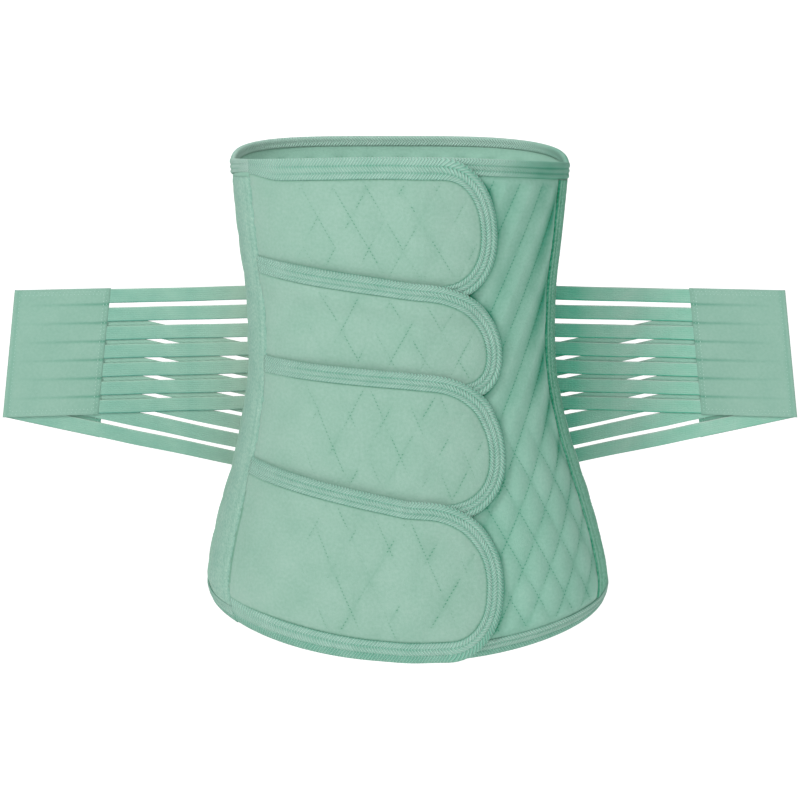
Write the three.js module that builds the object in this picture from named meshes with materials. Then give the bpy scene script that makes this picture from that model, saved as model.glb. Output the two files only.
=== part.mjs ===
// An abdominal binder as it is worn: a quilted wrap that goes once round the torso, closed
// in front by four overlapping quilted tabs, with a pair of elastic pull straps on each side.
// Millimetres, +Z up. The origin is the middle of the hollow at the waist, the front faces -Y
// and the wearer's left side lies towards +X.
import * as THREE from 'three';

// The hollow that the torso fills: half widths and depths at three heights
const TOP_RISE = 143;
const HIP_DROP = 186;
const TOP_HALF_WIDTH = 130.6;
const WAIST_HALF_WIDTH = 119.2;
const HIP_HALF_WIDTH = 157.6;
const TOP_FRONT = 92;
const WAIST_FRONT = 83;
const HIP_FRONT = 102;
const TOP_BACK = 94;
const WAIST_BACK = 77;
const HIP_BACK = 112;
const LEAN = 6;
const FRONT_ROUNDNESS = 2.1;
const BACK_ROUNDNESS = 2.6;

// Upper rim and lower hem, as heights over and under the waist
const RIM_FRONT = 147.5;
const RIM_SIDE = 142.3;
const RIM_BACK = 158.3;
const RIM_TILT = 1.5;
const HEM_FRONT = 239;
const HEM_SIDE = 201.5;
const HEM_BACK = 210.8;
const HEM_HOLLOW = 37;

// Quilted cloth, from the skin side out: its thickness on top of a diamond, along a line of
// stitches and at an edge, and how far the middle of the cloth lies from the hollow
const PUFFED = 3;
const STITCHED = 1.4;
const EDGE = 1.2;
const CLOTH_MIDDLE = 1.9;
const DIAMOND_WIDTH = 29;
const DIAMOND_HEIGHT = 48;
const TAB_PUFF = 2.6;

// Edge bindings
const BINDING_WIDTH = 12;
const TOP_TAB_BINDING = 16;
const BINDING_WALL = 0.8;
const SKIN_LEG = 0.75;
const GAP = 0.4;
const SEAM_GAP = 0.6;

// Layers: a tab lies over the underlap, and over the edge of the tab above it
const LAYER_GAP = 0.8;
const UNDERLAP_RAMP = 32;
const TAB_RAMP = 18;

// Seams, as shares of the way round from the front centre, and the underlap's free edge
const LEFT_SEAM = -0.178;
const RIGHT_SEAM = 0.197;
const UNDERLAP_EDGE_TOP = 19;
const UNDERLAP_EDGE_HEM = 9;

// Knitted side strips
const SIDE_STRIP_WIDTH = 34;
const SIDE_STRIP_WALL = 1;

// Front tabs
const TAB_REACH = 75.5;
const TAB_NOSE = 54;
const TAB_OVERLAP = 11;
const NOSE_ROUNDNESS = 2.1;

// Pull straps: seven elastic strips in each of two crossing bands, under a hand patch
const STRIPS = 7;
const STRIP_WIDTH = 11.4;
const LOWER_STRIP_WIDTH = 12.4;
const STRIP_PITCH = 15.2;
const STRIP_WALL = 1;
const STRAP_TAIL = 14;
const STRAP_ROOT = 60;
const STRAP_REACH = 313;
const STRAP_FLARE = 11.9;
const STRAP_TOP = 35.2;
const STRAP_END_DEPTH = 45;
const UPPER_BAND_RISE = 0.0115;
const LOWER_BAND_FALL = 0.244;
const PATCH_LENGTH = 77;
const PATCH_WALL = 0.8;
const PATCH_MARGIN = 0.8;

// Sections of the hollow from below the hem to above the rim. The level is a share of
// HIP_DROP under the waist and of TOP_RISE over it; the other columns are shares of the way
// from the waist's size to the hip's or the top's, and of LEAN.
const SECTIONS = [
  { level: -1.35, width: 0.70, front: 0.90, back: 0.91, lean: 1.27 },
  { level: -1.09, width: 0.963, front: 0.985, back: 0.99, lean: 1.12 },
  { level: -1.00, width: 1.00, front: 1.00, back: 1.00, lean: 1.00 },
  { level: -0.87, width: 0.89, front: 0.97, back: 0.93, lean: 0.93 },
  { level: -0.69, width: 0.664, front: 0.85, back: 0.72, lean: 0.83 },
  { level: -0.55, width: 0.45, front: 0.70, back: 0.52, lean: 0.78 },
  { level: -0.40, width: 0.255, front: 0.50, back: 0.32, lean: 0.55 },
  { level: -0.26, width: 0.115, front: 0.28, back: 0.16, lean: 0.40 },
  { level: -0.13, width: 0.016, front: 0.10, back: 0.05, lean: 0.33 },
  { level: 0.00, width: 0.00, front: 0.00, back: 0.00, lean: 0.20 },
  { level: 0.11, width: 0.00, front: 0.02, back: 0.05, lean: 0.17 },
  { level: 0.33, width: 0.13, front: 0.15, back: 0.25, lean: 0.10 },
  { level: 0.56, width: 0.48, front: 0.42, back: 0.50, lean: 0.03 },
  { level: 0.78, width: 0.77, front: 0.70, back: 0.75, lean: 0.00 },
  { level: 1.00, width: 1.00, front: 1.00, back: 1.00, lean: 0.00 },
  { level: 1.20, width: 1.07, front: 1.09, back: 1.09, lean: 0.00 },
];

// The four tabs, from the top. Reach is a share of TAB_REACH. The nose's upper and lower half
// are shares of TAB_NOSE. Heights are levels as in SECTIONS: where the upper and the lower
// edge point to at TAB_REACH, and the upper edge at the side seam and at the front centre.
const TABS = [
  { reach: 0.962, nose: [0.80, 1.00], tips: [null, 0.21] },
  { reach: 1.008, nose: [1.05, 1.05], tips: [0.315, -0.285], seam: 0.486, middle: 0.371 },
  { reach: 1.008, nose: [1.00, 1.00], tips: [-0.140, -0.730], seam: -0.046, middle: -0.095 },
  { reach: 0.955, nose: [1.05, 0.80], tips: [-0.650, -1.285], seam: -0.473, middle: -0.620 },
];

const LAYER = PUFFED / 2 + EDGE / 2 + GAP + BINDING_WALL + LAYER_GAP;
const FULL_TURN = 2 * Math.PI;

const lerp = (a, b, t) => a + (b - a) * t;
const clamp = (value, low, high) => Math.min(high, Math.max(low, value));
const smooth = (t) => clamp(t, 0, 1) ** 2 * (3 - 2 * clamp(t, 0, 1));
const height = (level) => level * (level > 0 ? TOP_RISE : HIP_DROP);

// A smooth curve through one column of SECTIONS
function column(name, level) {
  const last = SECTIONS.length - 1;
  const row = SECTIONS.findIndex((section, i) => i > 0 && (section.level >= level || i === last));
  const slope = (i) => {
    const before = SECTIONS[Math.max(i - 1, 0)];
    const after = SECTIONS[Math.min(i + 1, last)];
    return (after[name] - before[name]) / (after.level - before.level);
  };
  const low = SECTIONS[row - 1];
  const high = SECTIONS[row];
  const step = high.level - low.level;
  const t = clamp((level - low.level) / step, 0, 1);
  return (1 - smooth(t)) * low[name] + smooth(t) * high[name]
    + step * t * (1 - t) * ((1 - t) * slope(row - 1) - t * slope(row));
}

// Half width, depths and sideways place of the hollow at height z
function section(z) {
  const level = z / (z > 0 ? TOP_RISE : HIP_DROP);
  const far = z > 0
    ? { width: TOP_HALF_WIDTH, front: TOP_FRONT, back: TOP_BACK }
    : { width: HIP_HALF_WIDTH, front: HIP_FRONT, back: HIP_BACK };
  return {
    width: lerp(WAIST_HALF_WIDTH, far.width, column('width', level)),
    front: lerp(WAIST_FRONT, far.front, column('front', level)),
    back: lerp(WAIST_BACK, far.back, column('back', level)),
    middle: LEAN * column('lean', level),
  };
}

// How far out a point lies, 1 on the hollow's wall: a superellipse, rounder in front
function spread(x, y, z) {
  const { width, front, back, middle } = section(z);
  const depth = y < 0 ? front : back;
  const power = y < 0 ? FRONT_ROUNDNESS : BACK_ROUNDNESS;
  return (Math.abs((x - middle) / width) ** power + Math.abs(y / depth) ** power) ** (1 / power);
}

// The hollow's outline at height z, in fine steps from back centre to back centre by way of
// the front, with the length walked so far at each step
const OUTLINE_STEPS = 288;
const outlines = new Map();
function outline(z) {
  const key = z.toFixed(2);
  if (!outlines.has(key)) {
    const { middle } = section(z);
    const steps = [];
    for (let i = 0; i <= OUTLINE_STEPS; i += 1) {
      const turn = (i / OUTLINE_STEPS - 0.5) * FULL_TURN;
      const out = 1 / spread(middle + Math.sin(turn), -Math.cos(turn), z);
      const x = middle + out * Math.sin(turn);
      const y = -out * Math.cos(turn);
      const before = steps[i - 1];
      steps.push({ x, y, walked: i ? before.walked + Math.hypot(x - before.x, y - before.y) : 0 });
    }
    const front = steps[OUTLINE_STEPS / 2].walked;
    outlines.set(key, { steps, front, girth: steps[OUTLINE_STEPS].walked });
  }
  return outlines.get(key);
}

const girth = (z) => outline(z).girth;

// A point of the wrap: share of the way round from the front centre, height, and distance
// out from the hollow's wall
function onBody(share, z, out) {
  const { steps, front, girth: whole } = outline(z);
  const walked = (((front / whole + share) % 1) + 1) % 1 * whole;
  let low = 0;
  let high = OUTLINE_STEPS;
  while (high - low > 1) {
    const half = (low + high) >> 1;
    if (steps[half].walked <= walked) low = half;
    else high = half;
  }
  const t = (walked - steps[low].walked) / (steps[high].walked - steps[low].walked);
  const x = lerp(steps[low].x, steps[high].x, t);
  const y = lerp(steps[low].y, steps[high].y, t);
  const normal = new THREE.Vector3(
    spread(x + 0.5, y, z) - spread(x - 0.5, y, z),
    spread(x, y + 0.5, z) - spread(x, y - 0.5, z),
    spread(x, y, z + 0.5) - spread(x, y, z - 0.5),
  ).normalize();
  return new THREE.Vector3(x, y, z).addScaledVector(normal, out);
}

// Heights of the rim and the hem at a share of the way round
function rim(share) {
  const c = Math.cos(share * FULL_TURN);
  const level = c > 0 ? lerp(RIM_SIDE, RIM_FRONT, c * c) : lerp(RIM_BACK, RIM_SIDE, (1 + c) ** 2);
  return level - RIM_TILT * Math.sin(share * FULL_TURN) ** 3;
}
function hem(share) {
  const c = Math.cos(share * FULL_TURN);
  if (c > 0) return -lerp(HEM_SIDE, HEM_FRONT, c);
  return -(HEM_SIDE + c * HEM_HOLLOW * Math.exp(4 * c) + (HEM_BACK - HEM_SIDE) * c * c);
}

// A flat pattern point: length along the cloth from the home line, and height
const flat = (share, z, home) => ({ s: (share - home) * girth(z), z });

// Distance from a point to a run of pattern points
function distance(point, run) {
  let best = Infinity;
  for (let i = 1; i < run.length; i += 1) {
    const a = run[i - 1];
    const b = run[i];
    const length = (b.s - a.s) ** 2 + (b.z - a.z) ** 2;
    const t = clamp(((point.s - a.s) * (b.s - a.s) + (point.z - a.z) * (b.z - a.z)) / length, 0, 1);
    best = Math.min(best, Math.hypot(point.s - lerp(a.s, b.s, t), point.z - lerp(a.z, b.z, t)));
  }
  return best;
}

// Whether a point lies inside a closed run of pattern points
function inside(point, run) {
  let within = false;
  for (let i = 0, j = run.length - 1; i < run.length; j = i, i += 1) {
    const a = run[i];
    const b = run[j];
    const crossed = a.z > point.z !== b.z > point.z;
    if (crossed && point.s < lerp(a.s, b.s, (point.z - a.z) / (b.z - a.z))) within = !within;
  }
  return within;
}

// Joins pattern points into triangles, each with no other point in its circle. The points
// of a stitch line pull a little, so that edges run along the line.
const STITCH_PULL = 20;
function triangulate(points) {
  const far = 9000;
  const all = [...points, { s: -far, z: -far }, { s: far, z: -far }, { s: 0, z: far }];
  const rise = (p) => p.s ** 2 + p.z ** 2 - (p.stitched ? STITCH_PULL : 0);
  const encloses = (triangle, p) => {
    const [a, b, c] = triangle.map((i) => {
      const q = all[i];
      return [q.s - p.s, q.z - p.z, rise(q) - rise(p) - 2 * (p.s * (q.s - p.s) + p.z * (q.z - p.z))];
    });
    return a[0] * (b[1] * c[2] - b[2] * c[1]) - a[1] * (b[0] * c[2] - b[2] * c[0])
      + a[2] * (b[0] * c[1] - b[1] * c[0]) > 1e-6;
  };
  let triangles = [[points.length, points.length + 1, points.length + 2]];
  for (let n = 0; n < points.length; n += 1) {
    const kept = [];
    const rims = new Map();
    for (const triangle of triangles) {
      if (encloses(triangle, all[n])) {
        for (let k = 0; k < 3; k += 1) {
          const from = triangle[k];
          const to = triangle[(k + 1) % 3];
          if (!rims.delete(`${to},${from}`)) rims.set(`${from},${to}`, [from, to]);
        }
      } else {
        kept.push(triangle);
      }
    }
    triangles = [...kept, ...[...rims.values()].map(([from, to]) => [from, to, n])];
  }
  return triangles.filter((triangle) => triangle.every((i) => i < points.length));
}

const group = new THREE.Group();

function cloth(color, roughness) {
  return new THREE.MeshStandardMaterial({ color, roughness, metalness: 0 });
}
const QUILT_CLOTH = cloth(0x97bdac, 0.85);
const BINDING_CLOTH = cloth(0x8fbba8, 0.8);
const KNIT_CLOTH = cloth(0x8cb9a5, 0.85);
const ELASTIC = cloth(0x8fb9a6, 0.75);
const PATCH_CLOTH = cloth(0x94bdab, 0.8);

// Adds a closed body from its points and triangles, turned so that its faces point out
function add(name, points, triangles, material) {
  let volume = 0;
  for (const [a, b, c] of triangles) {
    volume += points[a].dot(points[b].clone().cross(points[c]));
  }
  const geometry = new THREE.BufferGeometry();
  const places = points.flatMap((p) => p.toArray());
  geometry.setAttribute('position', new THREE.Float32BufferAttribute(places, 3));
  geometry.setIndex(triangles.flatMap(([a, b, c]) => (volume > 0 ? [a, b, c] : [a, c, b])));
  geometry.computeVertexNormals();
  const mesh = new THREE.Mesh(geometry, material);
  mesh.name = name;
  group.add(mesh);
}

// A body swept through sections, each a closed run of points that goes out along one face and
// back along the other, so that its ends close between the points opposite each other. The
// four-sided faces are cut so that the diagonals of the two faces lie over each other.
function sweep(name, sections, material) {
  const count = sections[0].length;
  const points = sections.flat();
  const triangles = [];
  for (let i = 1; i < sections.length; i += 1) {
    for (let j = 0; j < count; j += 1) {
      const a = (i - 1) * count + j;
      const b = (i - 1) * count + (j + 1) % count;
      const [c, d] = [b + count, a + count];
      if (j < count / 2) triangles.push([a, b, d], [b, c, d]);
      else triangles.push([a, b, c], [a, c, d]);
    }
  }
  const end = (sections.length - 1) * count;
  for (let j = 1; j < count / 2; j += 1) {
    const [a, b, c, d] = [j - 1, j, count - 1 - j, count - j];
    triangles.push([a, c, b], [a, d, c], [end + a, end + b, end + c], [end + a, end + c, end + d]);
  }
  add(name, points, triangles, material);
}

// A sheet of quilted cloth. Its outline is a closed run of pattern points; its bound edges
// are stretches of it whose points also hold the inner side of the binding. Stitch lines
// cross the sheet in diamonds and follow the seams, which may have a pressed margin.
function quilt(name, { home, run, edges, puff, lift, seams = [], pressed = () => false }) {
  const core = run.map((p) => p.inner ?? p);
  const guides = [[...core, core[0]], ...seams];
  const sewn = [...core, ...seams.flat()].map((p) => ({ s: p.s, z: p.z, thick: EDGE, stitched: true }));
  const field = diamonds(core)
    .filter((p) => inside(p, core) && guides.every((guide) => distance(p, guide) > CLEAR_OF_SEAM))
    .map((p) => ({ ...p, thick: pressed(p) ? EDGE : (p.stitched ? STITCHED : puff) }));
  const outer = edges.flat().map((p) => ({ s: p.s, z: p.z, thick: EDGE }));
  const points = [...sewn, ...field, ...outer];
  const faces = triangulate([...sewn, ...field]).filter((face) => inside({
    s: face.reduce((sum, i) => sum + points[i].s, 0) / 3,
    z: face.reduce((sum, i) => sum + points[i].z, 0) / 3,
  }, core));
  const skinFaces = [...faces];
  const coreIndex = new Map(core.map((p, i) => [p, i]));
  let first = sewn.length + field.length;
  for (const edge of edges) {
    for (let i = 1; i < edge.length; i += 1) {
      const [a, b] = [first + i - 1, first + i];
      const [c, d] = [coreIndex.get(edge[i].inner), coreIndex.get(edge[i - 1].inner)];
      faces.push([a, b, c], [a, c, d]);
      skinFaces.push([a, b, d], [b, c, d]);
    }
    first += edge.length;
  }
  for (const face of [...faces, ...skinFaces]) {
    const [a, b, c] = face.map((i) => points[i]);
    if ((b.s - a.s) * (c.z - a.z) < (c.s - a.s) * (b.z - a.z)) face.reverse();
  }
  const place = (side) => points.map((p) => {
    const out = CLOTH_MIDDLE + lift(p) + side * p.thick / 2;
    return onBody(home + p.s / girth(p.z), p.z, out);
  });
  const count = points.length;
  const triangles = [...faces, ...skinFaces.map(([a, b, c]) => [c + count, b + count, a + count])];
  const rims = new Map();
  for (const [a, b, c] of faces) {
    for (const [from, to] of [[a, b], [b, c], [c, a]]) {
      if (!rims.delete(`${to},${from}`)) rims.set(`${from},${to}`, [from, to]);
    }
  }
  for (const [from, to] of rims.values()) {
    triangles.push([to, from, from + count], [to, from + count, to + count]);
  }
  add(name, [...place(1), ...place(-1)], triangles, QUILT_CLOTH);
}

// The quilting's corners and tops in a pattern's range. Lines of stitches run through every
// other point of a grid of half diamonds, and the points between them puff up.
const CLEAR_OF_SEAM = 0.29 * DIAMOND_WIDTH;
function diamonds(run) {
  const steps = (name, step) => {
    const values = run.map((p) => p[name]);
    const first = Math.ceil(Math.min(...values) / step);
    const last = Math.floor(Math.max(...values) / step);
    return Array.from({ length: last - first + 1 }, (_, i) => first + i);
  };
  const [across, up] = [DIAMOND_WIDTH / 2, DIAMOND_HEIGHT / 2];
  return steps('s', across).flatMap((i) => steps('z', up).map((j) => (
    { s: i * across, z: j * up, stitched: (i + j) % 2 === 0 }
  )));
}

// A binding folded over bound edges: a channel with one leg on each side of the cloth, the
// one on the skin side shorter. Each edge comes with its home line and its lift.
function binding(name, edges) {
  const leg = EDGE / 2 + GAP;
  const back = leg + BINDING_WALL;
  const sections = edges.flatMap(({ edge, home, lift }) => edge.map((p) => {
    const width = Math.hypot(p.s - p.inner.s, p.z - p.inner.z);
    const at = (beyond, out) => {
      const z = p.z + (p.z - p.inner.z) * beyond / width;
      const s = p.s + (p.s - p.inner.s) * beyond / width;
      const rise = lerp(lift(p), lift(p.inner), clamp(-beyond / width, 0, 1));
      return onBody(home + s / girth(z), z, CLOTH_MIDDLE + out + rise);
    };
    const wall = GAP + BINDING_WALL;
    return [
      at(-width, back), at(wall, back), at(wall, -back), at(-width * SKIN_LEG, -back),
      at(-width * SKIN_LEG, -leg), at(GAP, -leg), at(GAP, leg), at(-width, leg),
    ];
  }));
  sweep(name, sections, BINDING_CLOTH);
}

// Pattern points along the rim or the hem between two shares, with the binding's inner side
function boundEdge(from, to, steps, heightOf, width, home) {
  const down = heightOf === rim ? -1 : 1;
  return Array.from({ length: steps + 1 }, (_, i) => {
    const share = lerp(from, to, i / steps);
    const z = heightOf(share);
    return { ...flat(share, z, home), inner: flat(share, z + down * width, home) };
  });
}

// Pattern points up or down a seam, its two ends left out
function seamEdge(shareOf, from, to, home) {
  const steps = Math.round(Math.abs(to - from) / (DIAMOND_HEIGHT / 3));
  return Array.from({ length: steps - 1 }, (_, i) => {
    const z = lerp(from, to, (i + 1) / steps);
    return flat(shareOf(z), z, home);
  });
}

// Shares of the seams at a height, half a gap to each side
const leftSeam = (side) => (z) => LEFT_SEAM + side * SEAM_GAP / 2 / girth(z);
const rightSeam = (side) => (z) => RIGHT_SEAM + side * SEAM_GAP / 2 / girth(z);
const underlapEdge = (z) => {
  const t = (z + HEM_FRONT) / (RIM_FRONT + HEM_FRONT);
  return lerp(UNDERLAP_EDGE_HEM, UNDERLAP_EDGE_TOP, t) / girth(z);
};

// A panel between two seams, bound along the rim and the hem
function panelOutline(left, right, home, steps) {
  const edge = (heightOf, width) => {
    const z = heightOf((left(0) + right(0)) / 2);
    return boundEdge(left(z), right(z), steps, heightOf, width, home);
  };
  const top = edge(rim, BINDING_WIDTH);
  const bottom = edge(hem, BINDING_WIDTH);
  // The seam's points start at the bindings' inner sides, so that the bands stay whole
  const down = seamEdge(right, top[steps].inner.z, bottom[steps].inner.z, home);
  const up = seamEdge(left, bottom[0].inner.z, top[0].inner.z, home);
  return { edges: [top, bottom], run: [...top, ...down, ...bottom.slice().reverse(), ...up] };
}

// The side strips cover the back panel's margins, which are pressed flat under them
const BACK_HOME = 0.5;
const LEFT_STRIP_SHARE = (z) => 1 + LEFT_SEAM - SIDE_STRIP_WIDTH / girth(z);
const RIGHT_STRIP_SHARE = (z) => RIGHT_SEAM + SIDE_STRIP_WIDTH / girth(z);
const underStrip = ({ s, z }) => {
  const share = BACK_HOME + s / girth(z);
  return share > LEFT_STRIP_SHARE(z) || share < RIGHT_STRIP_SHARE(z);
};
const level0 = () => 0;
const BACK_STEPS = Math.round((1 + LEFT_SEAM - RIGHT_SEAM) * girth(0) / (DIAMOND_WIDTH / 2));
const FRONT_STEPS = Math.round(RIGHT_SEAM * girth(0) / (DIAMOND_WIDTH / 2));

const backPanel = panelOutline(rightSeam(1), (z) => 1 + leftSeam(-1)(z), BACK_HOME, BACK_STEPS);
const stripSeams = [LEFT_STRIP_SHARE, RIGHT_STRIP_SHARE].map((share) => {
  const bottom = hem(share(-HEM_SIDE)) + BINDING_WIDTH;
  return seamEdge(share, bottom, rim(share(RIM_SIDE)) - BINDING_WIDTH, BACK_HOME);
});
quilt('back_panel', {
  home: BACK_HOME, ...backPanel, puff: PUFFED, lift: level0, seams: stripSeams, pressed: underStrip,
});

const underlap = panelOutline(underlapEdge, rightSeam(-1), 0, FRONT_STEPS);
quilt('front_panel_right', { home: 0, ...underlap, puff: PUFFED, lift: level0 });

['top_binding', 'bottom_binding'].forEach((name, i) => binding(name, [
  { edge: underlap.edges[i], home: 0, lift: level0 },
  { edge: backPanel.edges[i], home: BACK_HOME, lift: level0 },
]));

// A knitted strip down one side, over the back panel's margin
function sideStrip(name, from, to) {
  const steps = Math.round((RIM_SIDE + HEM_SIDE) / (DIAMOND_HEIGHT / 3));
  const inner = CLOTH_MIDDLE + EDGE / 2 + SEAM_GAP;
  const outer = inner + SIDE_STRIP_WALL;
  const sections = Array.from({ length: steps + 1 }, (_, i) => {
    const at = (side, out) => {
      const top = rim(lerp(from(0), to(0), side)) - BINDING_WIDTH - SEAM_GAP;
      const bottom = hem(lerp(from(0), to(0), side)) + BINDING_WIDTH + SEAM_GAP;
      const z = lerp(bottom, top, i / steps);
      return onBody(lerp(from(z), to(z), side), z, out);
    };
    const across = [0, 0.25, 0.5, 0.75, 1];
    const face = across.map((side) => at(side, outer));
    return [...face, ...across.reverse().map((side) => at(side, inner))];
  });
  sweep(name, sections, KNIT_CLOTH);
}
sideStrip('side_strip_left', LEFT_STRIP_SHARE, (z) => 1 + leftSeam(-1)(z));
sideStrip('side_strip_right', rightSeam(1), RIGHT_STRIP_SHARE);

// A tab's upper and lower edge as heights over the length from the front centre
const seamAt = (z) => leftSeam(1)(z) * girth(z);
function through(seam, middle, tip) {
  const start = seamAt((seam + middle) / 2);
  return (s) => (s < 0 ? lerp(middle, seam, s / start) : lerp(middle, tip, s / TAB_REACH));
}
function tabEdges(k) {
  const tab = TABS[k];
  const next = TABS[k + 1];
  const upper = k
    ? through(height(tab.seam), height(tab.middle), height(tab.tips[0]))
    : (s) => rim(s / girth(RIM_FRONT));
  const lowerTip = height(tab.tips[1]);
  const lower = next
    ? through(height(next.seam) - TAB_OVERLAP, height(next.middle) - TAB_OVERLAP, lowerTip)
    : (s) => lerp(hem(s / girth(-HEM_FRONT)), lowerTip, clamp(s / TAB_REACH, 0, 1));
  return { upper, lower };
}

// The outline of a tab, from the seam along its upper edge, round its nose and back. The
// nose is a superellipse between the two edges.
function tabOutline(k) {
  const { upper, lower } = tabEdges(k);
  const tab = TABS[k];
  const tip = tab.reach * TAB_REACH;
  const edge = (bound, nose, width, upwards) => {
    const start = seamAt(bound(-TAB_REACH));
    const root = tip - nose * TAB_NOSE;
    const steps = Math.round((root - start) / DIAMOND_WIDTH * 2.2);
    const straight = Array.from({ length: steps }, (_, i) => {
      const s = lerp(start, root, i / steps);
      return i ? { s, z: bound(s), width } : { s: seamAt(bound(start)), z: bound(start), width };
    });
    const turns = Math.round(nose * TAB_NOSE * 1.5 / (DIAMOND_WIDTH * 0.36));
    const round = Array.from({ length: turns }, (_, i) => {
      const turn = (1 - i / turns) * Math.PI / 2;
      const s = root + nose * TAB_NOSE * Math.cos(turn) ** (2 / NOSE_ROUNDNESS);
      const middle = (upper(s) + lower(s)) / 2;
      const rise = (upper(s) - lower(s)) / 2 * Math.sin(turn) ** (2 / NOSE_ROUNDNESS);
      return { s, z: middle + upwards * rise, width: lerp(BINDING_WIDTH, width, Math.sin(turn) ** 4) };
    });
    return [...straight, ...round];
  };
  const over = edge(upper, tab.nose[0], k ? BINDING_WIDTH : TOP_TAB_BINDING, 1);
  const under = edge(lower, tab.nose[1], BINDING_WIDTH, -1);
  const point = { s: tip, z: (upper(tip) + lower(tip)) / 2, width: BINDING_WIDTH };
  const run = [...over, point, ...under.reverse()];
  run.forEach((p, i) => {
    const before = run[Math.max(i - 1, 0)];
    const after = run[Math.min(i + 1, run.length - 1)];
    const length = Math.hypot(after.s - before.s, after.z - before.z);
    const away = clamp((p.s - run[0].s) / DIAMOND_HEIGHT, 0, 1);
    const side = { s: (after.z - before.z) / length * away, z: -(after.s - before.s) / length };
    const unit = Math.hypot(side.s, side.z);
    const z = p.z + side.z * p.width / unit;
    const home = i % (run.length - 1) ? p.s + side.s * p.width / unit : seamAt(z);
    p.inner = { s: home, z };
  });
  const first = run[0].inner.z;
  const last = run[run.length - 1].inner.z;
  return { edges: [run], run: [...run, ...seamEdge(leftSeam(1), last, first, 0)] };
}

const tabs = TABS.map((_, k) => tabOutline(k));

// How many layers a tab is lifted: over the underlap, and over the edge of the tab above
function tabLift(k) {
  const under = tabs[k - 1]?.run;
  return (p) => {
    const overUnderlap = smooth((p.s - underlapEdge(p.z) * girth(p.z)) / UNDERLAP_RAMP + 1.1);
    const past = !under || inside(p, under) ? 0 : distance(p, [...under, under[0]]) - TAB_RAMP / 3;
    const overTab = under ? 1 - smooth(past / TAB_RAMP) : 0;
    return LAYER * (overUnderlap + overTab);
  };
}

tabs.forEach((tab, k) => {
  const lift = tabLift(k);
  quilt(`tab_${k + 1}`, { home: 0, ...tab, puff: TAB_PUFF, lift });
  binding(`tab_binding_${k + 1}`, [{ edge: tab.edges[0], home: 0, lift }]);
});

// Pull straps. Both bands lie on one curved sheet from the back panel to the hand patch;
// this gives its place for a distance out to the side, a height and a layer behind it.
const strapEnd = (z) => STRAP_REACH + STRAP_FLARE * (STRAP_TOP - z) / (STRIPS * STRIP_PITCH);
const REST = CLOTH_MIDDLE + PUFFED / 2 + LAYER_GAP;
function onBack(x, z) {
  const { width, back, middle } = section(z);
  return back * (1 - Math.abs((x - middle) / width) ** BACK_ROUNDNESS) ** (1 / BACK_ROUNDNESS);
}
function onStrap(side, across, z, layer) {
  const root = onBack(side * STRAP_ROOT, z) + REST;
  const y = across < STRAP_ROOT
    ? onBack(side * across, z) + REST
    : lerp(root, STRAP_END_DEPTH, (across - STRAP_ROOT) / (strapEnd(z) - STRAP_ROOT));
  return new THREE.Vector3(side * across, y + layer, z);
}

// A strip of elastic from its tail on the back panel to its end in the hand patch
const STRIP_SECTIONS = 7;
function strip(name, side, index, slope, layer, width) {
  const top = STRAP_TOP - index * STRIP_PITCH;
  const start = STRAP_ROOT - STRAP_TAIL;
  const end = strapEnd(top) - 2 * PATCH_MARGIN;
  const sections = Array.from({ length: STRIP_SECTIONS + 1 }, (_, i) => {
    const across = i ? lerp(STRAP_ROOT, end, (i - 1) / (STRIP_SECTIONS - 1)) : start;
    const z = top + slope * (end - across);
    const corner = (down, out) => onStrap(side, across, z - down, layer + out);
    const away = [corner(width, STRIP_WALL), corner(0, STRIP_WALL)];
    return [corner(0, 0), corner(width, 0), ...away];
  });
  sweep(name, sections, ELASTIC);
}

// A hand patch's cover, on the front of the upper band or the back of the lower one
function patch(name, side, slope, layer) {
  const bandDepth = (STRIPS - 1) * STRIP_PITCH + STRIP_WIDTH + 2 * PATCH_MARGIN;
  const sections = Array.from({ length: STRIPS + 1 }, (_, i) => {
    const down = bandDepth * i / STRIPS;
    const row = (share, out) => {
      const z0 = STRAP_TOP + PATCH_MARGIN - down;
      const z = z0 + slope * share * PATCH_LENGTH;
      return onStrap(side, strapEnd(z0) - share * PATCH_LENGTH, z, out);
    };
    const near = [0, 0.5, 1].map((share) => row(share, layer));
    const away = [1, 0.5, 0].map((share) => row(share, layer + PATCH_WALL));
    return [...near, ...away];
  });
  sweep(name, sections, PATCH_CLOTH);
}

const LOWER_LAYER = STRIP_WALL + GAP;
for (const [word, side] of [['left', -1], ['right', 1]]) {
  for (let i = 0; i < STRIPS; i += 1) {
    strip(`strap_${word}_upper_${i + 1}`, side, i, UPPER_BAND_RISE, 0, STRIP_WIDTH);
    strip(`strap_${word}_lower_${i + 1}`, side, i, -LOWER_BAND_FALL, LOWER_LAYER, LOWER_STRIP_WIDTH);
  }
  patch(`hand_patch_${word}_front`, side, UPPER_BAND_RISE, -GAP - PATCH_WALL);
  patch(`hand_patch_${word}_back`, side, -LOWER_BAND_FALL, LOWER_LAYER + STRIP_WALL + GAP);
}

export default group;
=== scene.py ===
"""A quilted abdominal binder, worn and closed: cloth, bindings, elastic straps and studio.

Lengths are millimetres until a mesh is made, which is in metres. The front faces -Y and +Z is up.
Cloth is laid out flat first, as a cutter would: s is the length along the cloth from a home
line, z the height. A point's share is how much of the way round the torso it lies from the
front centre, and out is its distance from the wall of the torso's hollow.
"""
import math

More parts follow.
